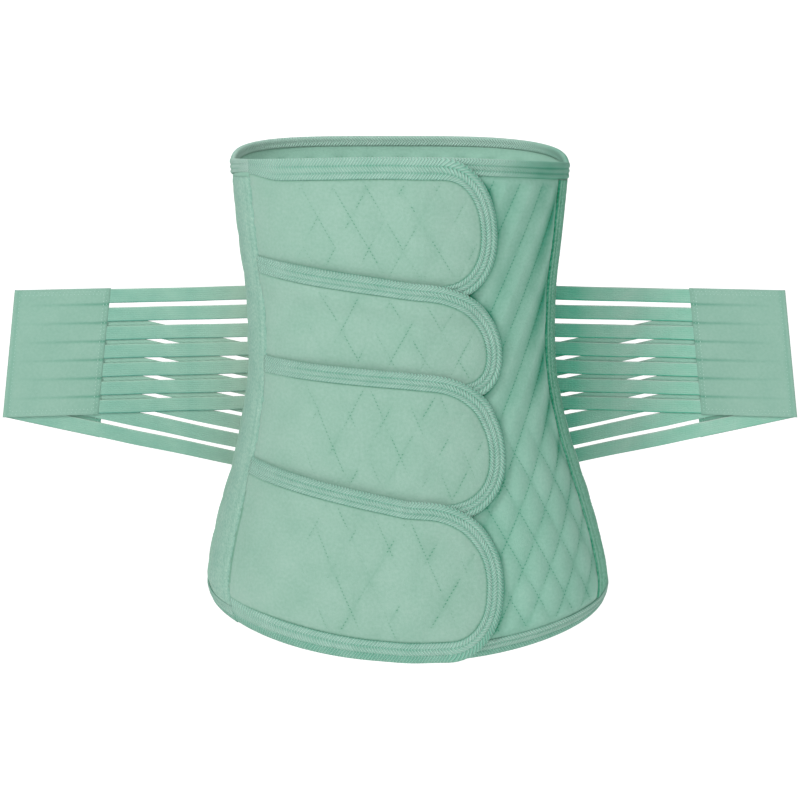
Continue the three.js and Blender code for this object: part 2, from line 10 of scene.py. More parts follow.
import bpy
import numpy as np
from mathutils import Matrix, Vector


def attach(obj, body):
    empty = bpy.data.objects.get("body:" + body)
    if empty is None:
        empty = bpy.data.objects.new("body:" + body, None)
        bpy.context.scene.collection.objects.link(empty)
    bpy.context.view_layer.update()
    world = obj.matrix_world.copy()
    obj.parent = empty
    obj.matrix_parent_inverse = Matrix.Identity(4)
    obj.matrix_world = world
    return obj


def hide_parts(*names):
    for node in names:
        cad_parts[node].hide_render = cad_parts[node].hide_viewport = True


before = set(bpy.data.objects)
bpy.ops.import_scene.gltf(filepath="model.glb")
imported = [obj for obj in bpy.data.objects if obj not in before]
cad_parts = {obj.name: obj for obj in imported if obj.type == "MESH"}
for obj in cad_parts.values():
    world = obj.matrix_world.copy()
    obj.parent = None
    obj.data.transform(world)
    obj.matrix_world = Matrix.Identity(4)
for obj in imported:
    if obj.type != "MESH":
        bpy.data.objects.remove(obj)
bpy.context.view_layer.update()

# The torso's hollow, as in the part's source, and how finely its table is worked out
TURNS, SHARES, TABLE_LOW, TABLE_HIGH = 1440, 2000, -264.0, 192.0
TOP_RISE, HIP_DROP = 143.0, 186.0
WIDTHS = (130.6, 119.2, 157.6)
FRONTS = (92.0, 83.0, 102.0)
BACKS = (94.0, 77.0, 112.0)
LEAN = 6.0
FRONT_ROUNDNESS, BACK_ROUNDNESS = 2.1, 2.6
LEVELS = np.array([-1.35, -1.09, -1.0, -.87, -.69, -.55, -.40, -.26, -.13, 0, .11, .33, .56, .78, 1, 1.2])
SHAPES = {
    "width": (.70, .963, 1, .89, .664, .45, .255, .115, .016, 0, 0, .13, .48, .77, 1, 1.07),
    "front": (.90, .985, 1, .97, .85, .70, .50, .28, .10, 0, .02, .15, .42, .70, 1, 1.09),
    "back": (.91, .99, 1, .93, .72, .52, .32, .16, .05, 0, .05, .25, .50, .75, 1, 1.09),
    "lean": (1.27, 1.12, 1, .93, .83, .78, .55, .40, .33, .20, .17, .10, .03, 0, 0, 0),
}

RIM_FRONT, RIM_SIDE, RIM_BACK, RIM_TILT = 147.5, 142.3, 158.3, 1.5
HEM_FRONT, HEM_SIDE, HEM_BACK, HEM_HOLLOW = 239.0, 201.5, 210.8, 37.0

PUFFED, STITCHED, EDGE, CLOTH_MIDDLE = 3.0, 1.4, 1.2, 1.9
# LINING_PAINTED_LIGHT: painted light, how much paler the back panel's inner face is painted, for light on
# the inside.
TAB_PUFF, PANEL_PUFF, BACK_PUFF, LINING_PAINTED_LIGHT = 2.6, 5.2, PUFFED + .6, 1.0
FLAT_EDGE, NOSE_CORNER = 7.0, .72
EASED_SEAM = 48.0
BINDING_WIDTH, TOP_TAB_BINDING, HEM_TAB_BINDING = 12.0, 15.5, 19.0
HEM_MIDDLE_BINDING, RIM_LEFT_BINDING, RIM_WIDENING, INNER_LEG = 15.5, 9.0, 34.0, .58
SEAM_FLAT, SEAM_OVERLAP = 60.0, 1.2
HEM_CURL, CURL_HEIGHT = 2.2, 10.0
BINDING_WALL, GAP, SEAM_GAP, LAYER_GAP = 0.8, 0.4, 0.6, 0.8
UNDERLAP_RAMP, TAB_RAMP = 32.0, 18.0
LAYER = PUFFED / 2 + EDGE / 2 + GAP + BINDING_WALL + LAYER_GAP
LEFT_SEAM, RIGHT_SEAM = -0.178, 0.197
UNDERLAP_EDGE_TOP, UNDERLAP_EDGE_HEM = 19.0, 9.0
SIDE_STRIP_WIDTH, SIDE_STRIP_WALL = 34.0, 1.0
TAB_REACH, TAB_NOSE, TAB_OVERLAP, NOSE_ROUNDNESS = 75.5, 54.0, 11.0, 2.1
TABS = (
    dict(reach=.962, nose=(.80, 1.00), tips=(None, .21)),
    dict(reach=1.008, nose=(1.05, 1.05), tips=(.315, -.285), seam=.486, middle=.371),
    dict(reach=1.008, nose=(1.00, 1.00), tips=(-.140, -.730), seam=-.046, middle=-.095),
    dict(reach=.955, nose=(1.05, .80), tips=(-.650, -1.285), seam=-.473, middle=-.620),
)

STRIPS, STRIP_WIDTH, LOWER_STRIP_WIDTH, STRIP_PITCH, STRIP_WALL = 7, 11.4, 12.4, 15.2, 1.0
STRAP_TAIL, STRAP_ROOT, STRAP_REACH, STRAP_FLARE = 14.0, 60.0, 313.0, 11.9
STRAP_TOP, STRAP_END_DEPTH = 35.2, 45.0
UPPER_BAND_RISE, LOWER_BAND_FALL = 0.0115, 0.244
PATCH_LENGTH, PATCH_WALL, PATCH_MARGIN = 77.0, 0.8, 0.8

# How each cloth's quilting lies: a crossing of its stitch lines, then for the rising and the
# falling lines their slope (s over z) and spacing, and how deep each set pulls
QUILTING = {
    "tab_1": ((14.7, 100.8), (.54, 26.3), (-.58, 25.6), (.75, .65)),
    "tab_2": ((29.9, 15.2), (.55, 25.3), (-.54, 25.1), (.8, .6)),
    "tab_3": ((37.1, -60.6), (.58, 27.9), (-.40, 24.4), (.9, .6)),
    "tab_4": ((43.7, -167.0), (.61, 33.5), (-.41, 25.3), (1.0, .65)),
    "front_panel_right": ((112.6, -125.6), (.50, 24.0), (-.58, 24.0), (.8, .7)),
    "back_panel": ((0.0, 0.0), (.54, 25.0), (-.54, 25.0), (1.0, 1.0)),
}
STITCH, QUILT_THREAD, BINDING_THREAD, ZIGZAG_THREAD, PATCH_THREAD = 3.0, 0.42, 0.5, 1.1, 0.7
# How much of the way between its holes a stitch shows, and how much of its thread is sunk
STITCH_SHOWN, BINDING_STITCH_SHOWN, ZIGZAG_STITCH_SHOWN, SUNK_THREAD = .74, .78, .95, .25
ZIGZAG_PITCH, ZIGZAG_SWING, ZIGZAG_ROWS = 2.8, 2.4, (2.6, 9.6, SIDE_STRIP_WIDTH - 3.2)
PATCH_INSET, PATCH_ROWS_APART, STRIP_CROWN = 2.5, 2.2, .14

# Each band of strips: its slope, how far behind it lies, and a strip's width
BANDS = {"upper": (UPPER_BAND_RISE, 0.0, STRIP_WIDTH),
         "lower": (-LOWER_BAND_FALL, STRIP_WALL + GAP, LOWER_STRIP_WIDTH)}
# Each side's sign, and the painted shade of its strips everywhere, behind the other band and
# beside the body; less than 0 is painted light. The left strips get painted shade
# everywhere, against the stronger light on that side.
STRAP_SIDES = {"left": (-1, .16, -.3, -.85), "right": (1, 0.0, -.12, .6)}

# The steps of the cloths' grids, and in metres the pitches of their threads
TAB_STEP, PANEL_STEP, BACK_STEP = 1.15, 1.5, 2.2
YARN_PITCH, RIB_PITCH, LOOP_PITCH, CORD_PITCH, WEFT_PITCH = .00085, .0024, .0022, .0017, .0012
RIDGE_WIDTH, BUMP_HEIGHT = .004, .0004


# ---- The torso and the cloth's edges ----

def mix(a, b, t):
    """The value t of the way from a to b."""
    return a + (b - a) * t


def ease(t):
    """Rises softly from 0 to 1: three t squared less two t cubed, held at its ends."""
    t = np.clip(t, 0, 1)
    return t * t * (3 - 2 * t)


def hill(x, width):
    """A soft bump of height 1: e to the minus square of x over its width."""
    return np.exp(-(x / width) ** 2)


def height_of(level):
    """A level in millimetres: a share of the rise above the waist or of the drop below it."""
    return level * (TOP_RISE if level > 0 else HIP_DROP)


def shape(name, level):
    """A smooth curve through one column of the section table: a cubic between two rows whose
    slope at each row is that from the row before to the row after."""
    values = np.array(SHAPES[name], float)
    slopes = (np.append(values[1:], values[-1]) - np.append(values[0], values[:-1])) / (
        np.append(LEVELS[1:], LEVELS[-1]) - np.append(LEVELS[0], LEVELS[:-1]))
    row = np.clip(np.searchsorted(LEVELS, level) - 1, 0, len(LEVELS) - 2)
    step = LEVELS[row + 1] - LEVELS[row]
    t = np.clip((level - LEVELS[row]) / step, 0, 1)
    return mix(values[row], values[row + 1], ease(t)) + step * t * (1 - t) * (
        (1 - t) * slopes[row] - t * slopes[row + 1])


def unit(vectors):
    """Vectors with their length made 1."""
    return vectors / np.linalg.norm(vectors, axis=-1, keepdims=True)


def level_of(z):
    """A height as a level: its share of the rise above the waist or of the drop below it."""
    return z / np.where(z > 0, TOP_RISE, HIP_DROP)


def lean_of(z):
    """How far the hollow's middle leans to the side at a height."""
    return LEAN * shape("lean", level_of(z))


def section(name, sizes, z):
    """The hollow's half width, or its depth in front or behind, at a height: between its size
    at the waist and that at the top or the hips."""
    return mix(sizes[1], np.where(z > 0, sizes[0], sizes[2]), shape(name, level_of(z)))


def spread(x, y, z):
    """1 on the hollow's wall: the root of the sum of powers of the width's and depth's shares."""
    depth = np.where(y < 0, section("front", FRONTS, z), section("back", BACKS, z))
    power = np.where(y < 0, FRONT_ROUNDNESS, BACK_ROUNDNESS)
    across = np.abs((x - lean_of(z)) / section("width", WIDTHS, z))
    return (across ** power + np.abs(y / depth) ** power) ** (1 / power)


def torso_table():
    """The hollow's wall and its outward direction for every millimetre of height and every
    even share of the way round. Each level is walked in fine turns, and the turns are spaced
    out anew so that equal shares are equal lengths. Outward is the way in which spread grows."""
    heights = np.arange(TABLE_LOW, TABLE_HIGH)
    z, turn = np.meshgrid(heights, np.linspace(-np.pi, np.pi, TURNS + 1), indexing="ij")
    middle = lean_of(z)
    out = 1 / spread(middle + np.sin(turn), -np.cos(turn), z)
    x, y = middle + out * np.sin(turn), -out * np.cos(turn)
    steps = np.hypot(np.diff(x, axis=1, prepend=x[:, :1]), np.diff(y, axis=1, prepend=y[:, :1]))
    lengths = np.cumsum(steps, axis=1)
    share = (lengths - lengths[:, TURNS // 2, None]) / lengths[:, -1:]
    even = np.linspace(-0.5, 0.5, SHARES + 1)
    even_x, even_y = (np.array([np.interp(even, *level, period=1) for level in zip(share, line)])
                      for line in (x, y))
    wall = np.stack([even_x, even_y, np.broadcast_to(heights[:, None], even_x.shape)], -1)
    way = [spread(*np.moveaxis(wall + nudge, -1, 0)) - spread(*np.moveaxis(wall - nudge, -1, 0))
           for nudge in np.eye(3) / 2]
    return heights, np.concatenate([wall, unit(np.stack(way, -1))], -1), lengths[:, -1]


HEIGHTS, TORSO, GIRTHS = torso_table()


def girth(z):
    """The hollow's girth at a height."""
    return np.interp(z, HEIGHTS, GIRTHS)


def on_body(share, z, out):
    """A point of the wrap, read between the four nearest entries of the torso's table, and
    pushed out along the outward direction."""
    share, z, out = (np.asarray(values, float) for values in np.broadcast_arrays(share, z, out))
    column = ((share + 0.5) % 1.0) * SHARES
    row = np.clip(z - HEIGHTS[0], 0, len(HEIGHTS) - 1.001)
    c, r = np.floor(column).astype(int), np.floor(row).astype(int)
    tc, tr = (column - c)[..., None], (row - r)[..., None]
    near = mix(TORSO[r, c], TORSO[r, np.minimum(c + 1, SHARES)], tc)
    far = mix(TORSO[r + 1, c], TORSO[r + 1, np.minimum(c + 1, SHARES)], tc)
    entry = mix(near, far, tr)
    wall, way = entry[..., :3].copy(), entry[..., 3:]
    wall[..., 2] = z
    return wall + way * out[..., None]


def rim(share):
    """The rim's height: side height, raised in front by the cosine squared, and behind by a
    curve that rises fast from the sides, less a small tilt."""
    c = np.cos(2 * np.pi * share)
    level = np.where(c > 0, mix(RIM_SIDE, RIM_FRONT, c * c), mix(RIM_BACK, RIM_SIDE, (1 + c) ** 2))
    return level - RIM_TILT * np.sin(2 * np.pi * share) ** 3


def hem(share):
    """The hem's height: it falls with the cosine in front, and behind it is nearly level."""
    c = np.cos(2 * np.pi * share)
    behind = HEM_SIDE + c * HEM_HOLLOW * np.exp(4 * np.minimum(c, 0)) + (HEM_BACK - HEM_SIDE) * c * c
    return -np.where(c > 0, mix(HEM_SIDE, HEM_FRONT, c), behind)


def underlap_edge(z):
    """Where the right panel's free edge lies under the tabs, from the front centre."""
    return mix(UNDERLAP_EDGE_HEM, UNDERLAP_EDGE_TOP, (z + HEM_FRONT) / (RIM_FRONT + HEM_FRONT))


def left_seam(z):
    """The left side seam, as a length from the front centre."""
    return LEFT_SEAM * girth(z) + SEAM_GAP / 2


# ---- The tabs' outlines ----

def tab_edges(k):
    """A tab's upper and lower edge as heights over s: straight from the side seam to the front
    centre, and straight on to the tip; the first starts at the rim and the last ends at the hem."""
    def through(seam, middle, tip):
        start = float(left_seam((seam + middle) / 2))
        return lambda s: np.where(s < 0, mix(middle, seam, s / start), mix(middle, tip, s / TAB_REACH))
    tab = TABS[k]
    if k:
        upper = through(height_of(tab["seam"]), height_of(tab["middle"]), height_of(tab["tips"][0]))
    else:
        def upper(s):
            return rim(s / girth(RIM_FRONT))
    tip = height_of(tab["tips"][1])
    if k + 1 < len(TABS):
        following = TABS[k + 1]
        seam, middle = (height_of(following[place]) - TAB_OVERLAP for place in ("seam", "middle"))
        lower = through(seam, middle, tip)
    else:
        def lower(s):
            return mix(hem(s / girth(-HEM_FRONT)), tip, np.clip(s / TAB_REACH, 0, 1))
    return upper, lower


def tab_bounds(k):
    """A tab's lower and upper border over s, and its tip. Over the nose each half closes to the
    middle as a superellipse does."""
    upper, lower = tab_edges(k)
    tip = TABS[k]["reach"] * TAB_REACH

    def border(which):
        nose = TABS[k]["nose"][which] * TAB_NOSE
        root = tip - nose

        def at(s):
            along = np.clip((s - root) / nose, 0, 1)
            left = (1 - along ** NOSE_ROUNDNESS) ** (1 / NOSE_ROUNDNESS)
            middle, half = (upper(s) + lower(s)) / 2, (upper(s) - lower(s)) / 2
            return middle + (half if which == 0 else -half) * left
        return at, root, nose
    return border(0), border(1), tip


def walked(line):
    """The length walked along a line at each of its points."""
    return np.append(0, np.cumsum(np.linalg.norm(np.diff(line, axis=0), axis=1)))


def read_off(line, lengths, at):
    """A line's points at given lengths, where lengths says how far along its own points are."""
    return np.stack([np.interp(at, lengths, column) for column in line.T], -1)


def along(line, t):
    """A line's points at shares t of its length on the flat cloth."""
    lengths = walked(line[:, :2])
    return read_off(line, lengths, t * lengths[-1])


def even_steps(line, step):
    """A line's points spaced out evenly, about one step apart."""
    count = max(2, int(round(walked(line[:, :2])[-1] / step)) + 1)
    return along(line, np.linspace(0, 1, count))


def tab_line(k, step):
    """A tab's bound edge, from the seam along the top, round the nose and back: s, z and the
    binding's width at each point."""
    over, under, tip = tab_bounds(k)
    halves = []
    for (border, root, nose), top in ((over, True), (under, False)):
        start = -TAB_REACH
        for _ in range(3):
            start = float(left_seam(border(start)))
        turn = np.linspace(0, np.pi / 2, 60)
        rounded = root + nose * np.sin(turn) ** (2 / NOSE_ROUNDNESS)
        s = np.concatenate([np.linspace(start, root, 60)[:-1], rounded])
        width = np.full_like(s, BINDING_WIDTH)
        if top and k == 0:
            width = mix(TOP_TAB_BINDING, BINDING_WIDTH, ease((s - root) / nose))
            width = mix(RIM_LEFT_BINDING + 1.5, width, ease((s - start) / RIM_WIDENING))
        if not top and k == len(TABS) - 1:
            width = mix(HEM_TAB_BINDING, HEM_MIDDLE_BINDING, ease((s - start) / -start))
            width = mix(width, BINDING_WIDTH, ease((s - root) / nose))
        halves.append(np.stack([s, border(s), width], 1))
    line = np.concatenate([halves[0], halves[1][::-1][1:]])
    return even_steps(line, step)


def inward(line):
    """The inner side of a binding: each point of its edge moved by the width square to the
    edge, to the right of the way it runs; at the seam it moves along the seam."""
    way = unit(np.gradient(line[:, :2], axis=0))
    away = np.clip((line[:, 0] - line[0, 0]) / EASED_SEAM, 0, 1)
    side = unit(np.stack([way[:, 1] * away, -way[:, 0]], 1))
    inner = line[:, :2] + side * line[:, 2:3]
    inner[:, 0] += (left_seam(inner[:, 1]) - left_seam(line[:, 1])) * (1 - away)
    return inner


def distance_to(s, z, line):
    """The distance from each pattern point to the nearest stretch of a line."""
    best = np.full(np.shape(s), 1e9)
    for (s0, z0), (s1, z1) in zip(line[:-1], line[1:]):
        ds, dz = s1 - s0, z1 - z0
        t = np.clip(((s - s0) * ds + (z - z0) * dz) / (ds ** 2 + dz ** 2 + 1e-9), 0, 1)
        best = np.minimum(best, np.hypot(s - mix(s0, s1, t), z - mix(z0, z1, t)))
    return best


def within(s, z, line):
    """Whether a pattern point lies in a closed line: it crosses the line an odd number of
    times on its way to the side."""
    inside = np.zeros(np.shape(s), bool)
    ring = np.concatenate([line, line[:1]])
    for (s0, z0), (s1, z1) in zip(ring[:-1], ring[1:]):
        crosses = (z0 > z) != (z1 > z)
        inside ^= crosses & (s < mix(s0, s1, (z - z0) / (z1 - z0 + 1e-12)))
    return inside


TAB_LINES = [tab_line(k, 8.0) for k in range(len(TABS))]


def lift_of(k):
    """How far a tab is lifted: by a layer where it has climbed over the underlap's edge, and by
    one more over the tab above it, each on a soft ramp. At the side seam the layers are sewn
    flat together."""
    def lift(s, z):
        climbed = ease((s - underlap_edge(z)) / UNDERLAP_RAMP + 1.1)
        if k == 0:
            return LAYER * climbed
        sewn = mix(.42, 1, ease((s - left_seam(z)) / SEAM_FLAT))
        above = TAB_LINES[k - 1][:, :2]
        ring = np.concatenate([above, above[:1]])
        past = np.where(within(s, z, above), 0, distance_to(s, z, ring) - TAB_RAMP / 3)
        curl = hem_curl(z - tab_edges(k)[1](s)) * ease((40 - s) / 25) if k + 1 == len(TABS) else 0
        return LAYER * (climbed + sewn * (1 - ease(past / TAB_RAMP))) + curl
    return lift


def hem_curl(above):
    """How far a hem curls in under itself at a height above its edge: the square of what is
    left of the curl's height."""
    return -HEM_CURL * np.clip(1 - above / CURL_HEIGHT, 0, 1) ** 2


def panel_lift(home):
    """The panels lie on the torso, and only their hem curls in."""
    return lambda s, z: hem_curl(z - hem(home + s / girth(z)))


def rim_lift(s, z):
    """The rim isn't lifted."""
    return np.zeros(np.shape(z))


# ---- Making meshes ----

def new_object(name, data):
    """An object in the scene."""
    made = bpy.data.objects.new(name, data)
    bpy.context.scene.collection.objects.link(made)
    return made


def add_piece(name, points, faces, material, uv=None, marks=None, stands_for=()):
    """A piece of the binder from its points in millimetres and its faces. uv gives a pair for
    each point, and marks are named values at the points that its material reads."""
    mesh = bpy.data.meshes.new(name)
    mesh.from_pydata([], [], [])
    points = np.asarray(points, float).reshape(-1, 3) / 1000
    faces = np.asarray(faces, np.int32)
    corners = faces.shape[1]
    mesh.vertices.add(len(points))
    mesh.vertices.foreach_set("co", points.astype(np.float32).ravel())
    mesh.loops.add(faces.size)
    mesh.loops.foreach_set("vertex_index", faces.ravel())
    mesh.polygons.add(len(faces))
    mesh.polygons.foreach_set("loop_start", np.arange(0, faces.size, corners, dtype=np.int32))
    if uv is not None:
        layer = mesh.uv_layers.new(name="cloth")
        layer.data.foreach_set("uv", np.asarray(uv, np.float32).reshape(-1, 2)[faces.ravel()].ravel())
    for mark, values in (marks or {}).items():
        attribute = mesh.attributes.new(mark, "FLOAT", "POINT")
        attribute.data.foreach_set("value", np.asarray(values, np.float32).ravel())
    mesh.update(calc_edges=True)
    mesh.validate(clean_customdata=False)
    mesh.shade_smooth()
    mesh.materials.append(material)
    piece = new_object(name, mesh)
    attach(piece, "root")
    if stands_for:
        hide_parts(*stands_for)
    return piece


def grid_faces(rows, columns, start=0, flip=False):
    """Four-sided faces between neighbouring rows and columns of a grid of points."""
    index = start + np.arange(rows * columns).reshape(rows, columns)
    quads = np.stack([index[:-1, :-1], index[:-1, 1:], index[1:, 1:], index[1:, :-1]], -1).reshape(-1, 4)
    return quads[:, ::-1] if flip else quads


def shell(outer, inner):
    """Both grids of points of a closed sheet and its faces: its outer face, its inner face
    turned round, and a strip of faces all the way round the border."""
    rows, columns = outer.shape[:2]
    count = rows * columns
    index = np.arange(count).reshape(rows, columns)
    ring = np.concatenate([index[0, :], index[1:, -1], index[-1, -2::-1], index[-2:0:-1, 0]])
    after = np.roll(ring, -1)
    border = np.stack([ring, ring + count, after + count, after], -1)
    faces = np.concatenate([grid_faces(rows, columns), grid_faces(rows, columns, count, True), border])
    return np.stack([outer, inner]), faces


def outward(points, faces):
    """The faces, turned round if the closed body that they make has a negative volume."""
    a, b, c = (points[faces[:, i]] for i in (0, 1, 2))
    d = points[faces[:, 3]]
    volume = np.einsum("ij,ij->", a, np.cross(b, c)) + np.einsum("ij,ij->", a, np.cross(c, d))
    return faces if volume > 0 else faces[:, ::-1]


def tape(sections):
    """The points and faces of a body carried along a path: sections has one closed ring of
    points for each step, and each end is closed by faces between its ring's opposite points."""
    steps, around = sections.shape[:2]
    index = np.arange(steps * around).reshape(steps, around)
    after = np.roll(index, -1, axis=1)
    sides = np.stack([index[:-1], after[:-1], after[1:], index[1:]], -1).reshape(-1, 4)
    j = np.arange(around // 2 - 1)
    ends = []
    for ring, flip in ((index[0], False), (index[-1], True)):
        quads = np.stack([ring[j], ring[around - 1 - j], ring[around - 2 - j], ring[j + 1]], -1)
        ends.append(quads[:, ::-1] if flip else quads)
    return sections, np.concatenate([sides, *ends])


def add_cloth(name, points, faces, lengths, marks, material):
    """A piece that stands for the node of its own name, from a grid of points. lengths holds
    the length along and across the cloth, where its pattern lies; they and the marks are
    spread over the grid."""
    grid = points.shape[:-1]
    uv = np.stack([np.broadcast_to(values, grid) for values in lengths], -1) / 1000
    marks = {mark: np.broadcast_to(values, grid) for mark, values in marks.items()}
    faces = outward(points.reshape(-1, 3), faces)
    return add_piece(name, points, faces, material, uv, marks, (name,))


def add_stitches(name, middles, ways, ups, lengths, thickness, material, slot):
    """Stitches, each a little bead of thread: four corners round its middle and a point at
    each end, laid along its way."""
    ends, thin = ways * np.reshape(lengths, (-1, 1)) / 2, thickness / 2
    sides = np.cross(ways, ups) * thin
    rings = [middles - ends - ups * thin, middles + sides, middles + ups * thin, middles - sides,
             middles - ups * thin, middles + ends - ups * thin]
    bead = [(0, 2, 1), (0, 3, 2), (0, 4, 3), (0, 1, 4), (5, 1, 2), (5, 2, 3), (5, 3, 4), (5, 4, 1)]
    faces = np.arange(len(middles))[:, None, None] * len(rings) + np.array(bead)
    add_piece(name, np.stack(rings, 1), faces.reshape(-1, 3), material)


def between_holes(low, high):
    """The middle, the way and the upward direction of the stitch between each two needle
    holes, from the holes' points in the cloth and above it."""
    way, up = unit(np.diff(low, axis=0)), (high - low)[:-1]
    return (low[:-1] + low[1:]) / 2, way, unit(up - way * np.sum(up * way, 1, keepdims=True))


def sew(name, lines, place, thickness, material):
    """Rows of stitches along pattern lines. place turns (s, z, extra height) into points; each
    stitch lies a little sunk between its two needle holes."""
    rows = [even_steps(line, STITCH).T for line in lines]
    frames = [between_holes(place(*row, -SUNK_THREAD * thickness), place(*row, 1.0))
              for row in rows if row.shape[1] > 2]
    middles, ways, ups = (np.concatenate(values) for values in zip(*frames))
    add_stitches(name, middles, ways, ups, STITCH * STITCH_SHOWN, thickness, material, "quilted_cloth")


# ---- Materials ----

def fill(tree, node, values):
    """Fills a node's inputs. For each, by name or place, values holds a number, a colour or
    another node's output."""
    for socket, value in values.items():
        if isinstance(value, bpy.types.NodeSocket):
            tree.links.new(value, node.inputs[socket])
        else:
            node.inputs[socket].default_value = value


def add_node(tree, kind, values, **settings):
    """A new node's outputs. values fills its inputs."""
    node = tree.nodes.new("ShaderNode" + kind)
    for setting, value in settings.items():
        setattr(node, setting, value)
    fill(tree, node, values)
    return node.outputs


def math_node(tree, operation, *values):
    """A math node's result; each value is a number or another node's output."""
    return add_node(tree, "Math", dict(enumerate(values)), operation=operation)[0]


def added(tree, value, share, rest):
    """The value times a share, added to the rest."""
    return math_node(tree, "MULTIPLY_ADD", value, share, rest)


def range_node(tree, value, low, high, at_low, at_high, **settings):
    """A value's place between low and high, told between at_low and at_high."""
    span = dict(enumerate((value, low, high, at_low, at_high)))
    return add_node(tree, "MapRange", span, **settings)[0]


def noise_node(tree, vector, scale, detail):
    """A noise's value at a vector."""
    return add_node(tree, "TexNoise", {"Vector": vector, "Scale": scale, "Detail": detail})["Fac"]


def mark_node(tree, mark):
    """What a mark says at each point of the mesh."""
    return add_node(tree, "Attribute", {}, attribute_name=mark)["Fac"]


def wave(tree, value, period):
    """The sine of a length in metres over a period in metres."""
    return math_node(tree, "SINE", math_node(tree, "MULTIPLY", value, 2 * math.pi / period))


def new_group(name, inputs, outputs, draw):
    """A node group with float inputs and outputs, one of them named Vector a vector. draw works
    out the outputs from the tree and the inputs."""
    group = bpy.data.node_groups.new(name, "ShaderNodeTree")
    for way, sockets in (("INPUT", inputs), ("OUTPUT", outputs)):
        for socket in sockets:
            kind = "NodeSocketVector" if socket == "Vector" else "NodeSocketFloat"
            group.interface.new_socket(socket, in_out=way, socket_type=kind)
    given = group.nodes.new("NodeGroupInput").outputs
    fill(group, group.nodes.new("NodeGroupOutput"), dict(zip(outputs, draw(group, given))))
    return group


def cloth_pattern(name, draw):
    """A node group with a cloth's height and shade at a place, from its x and y."""
    def at_place(tree, given):
        x, y, _ = add_node(tree, "SeparateXYZ", {0: given["Vector"]})
        return draw(tree, given["Vector"], x, y)
    return new_group(name, ["Vector"], ["Height", "Shade"], at_place)


def weave(tree, place, x, y):
    """A plain weave with slubs: the product of two crossed sines, roughened by a noise."""
    crossed = math_node(tree, "MULTIPLY", wave(tree, x, YARN_PITCH), wave(tree, y, YARN_PITCH))
    broad = added(tree, noise_node(tree, place, 34, 4), .6, -.1)
    height = added(tree, crossed, .18, noise_node(tree, place, 900, 3))
    return height, added(tree, noise_node(tree, place, 420, 2), .6, broad)


def slanted_ribs(tree, place, x, y):
    """A tape's slanted ribs: a sine of the length plus a zigzag of the width, so that the ribs
    lean the other way on the middle ridge, roughened by a noise. Its shade follows the ribs:
    painted light on their crests and painted shade in their furrows."""
    rib = wave(tree, added(tree, math_node(tree, "PINGPONG", y, RIDGE_WIDTH), .9, x), RIB_PITCH)
    height = added(tree, rib, 1.1, noise_node(tree, place, 700, 3))
    return height, added(tree, rib, .32, noise_node(tree, place, 60, 3))


def knit_loops(tree, place, x, y):
    """A knit's columns of small loops: a sine across the columns whose phase swings along them.
    Its shade follows the loops a little, as painted light and shade, and has speckles.
    """
    swing = math_node(tree, "PINGPONG", y, LOOP_PITCH / 2)
    loops = wave(tree, math_node(tree, "ADD", x, swing), LOOP_PITCH)
    speckles = added(tree, noise_node(tree, place, 420, 2), 2.2, -1.1)
    speckles = math_node(tree, "ADD", speckles, noise_node(tree, place, 50, 3))
    height = added(tree, loops, .4, noise_node(tree, place, 800, 3))
    return height, added(tree, loops, .08, speckles)


def elastic_cords(tree, place, x, y):
    """A woven elastic's lengthwise cords, crossed by a finer weft. Its shade follows the cords a
    little, as painted light and shade.
    """
    cords = wave(tree, y, CORD_PITCH)
    weft = added(tree, wave(tree, x, WEFT_PITCH), .15, noise_node(tree, place, 600, 3))
    return added(tree, cords, .35, weft), added(tree, cords, .07, noise_node(tree, place, 45, 3))


def needle_marks(tree, given):
    """The quilting's lines and needle holes, where painted shade darkens the cloth: near a whole
    value of Rising or Falling, and the holes near every whole stitch of the height."""
    near = math_node(tree, "LESS_THAN", math_node(tree, "PINGPONG", given["Height"], .5), .2)
    lines, holes = [], []
    for side in ("Rising", "Falling"):
        away = math_node(tree, "PINGPONG", given[side], .5)
        lines.append(range_node(tree, away, .012, .07, 1.0, 0.0, interpolation_type="SMOOTHSTEP"))
        holes.append(math_node(tree, "MULTIPLY", math_node(tree, "LESS_THAN", away, .016), near))
    return math_node(tree, "MAXIMUM", *lines), math_node(tree, "MAXIMUM", *holes)


WEAVE, RIBS = cloth_pattern("weave", weave), cloth_pattern("slanted_ribs", slanted_ribs)
KNITTED, CORDS = cloth_pattern("knit", knit_loops), cloth_pattern("elastic_cords", elastic_cords)
NEEDLE_MARKS = new_group("needle_marks", ["Rising", "Falling", "Height"], ["Line", "Hole"], needle_marks)


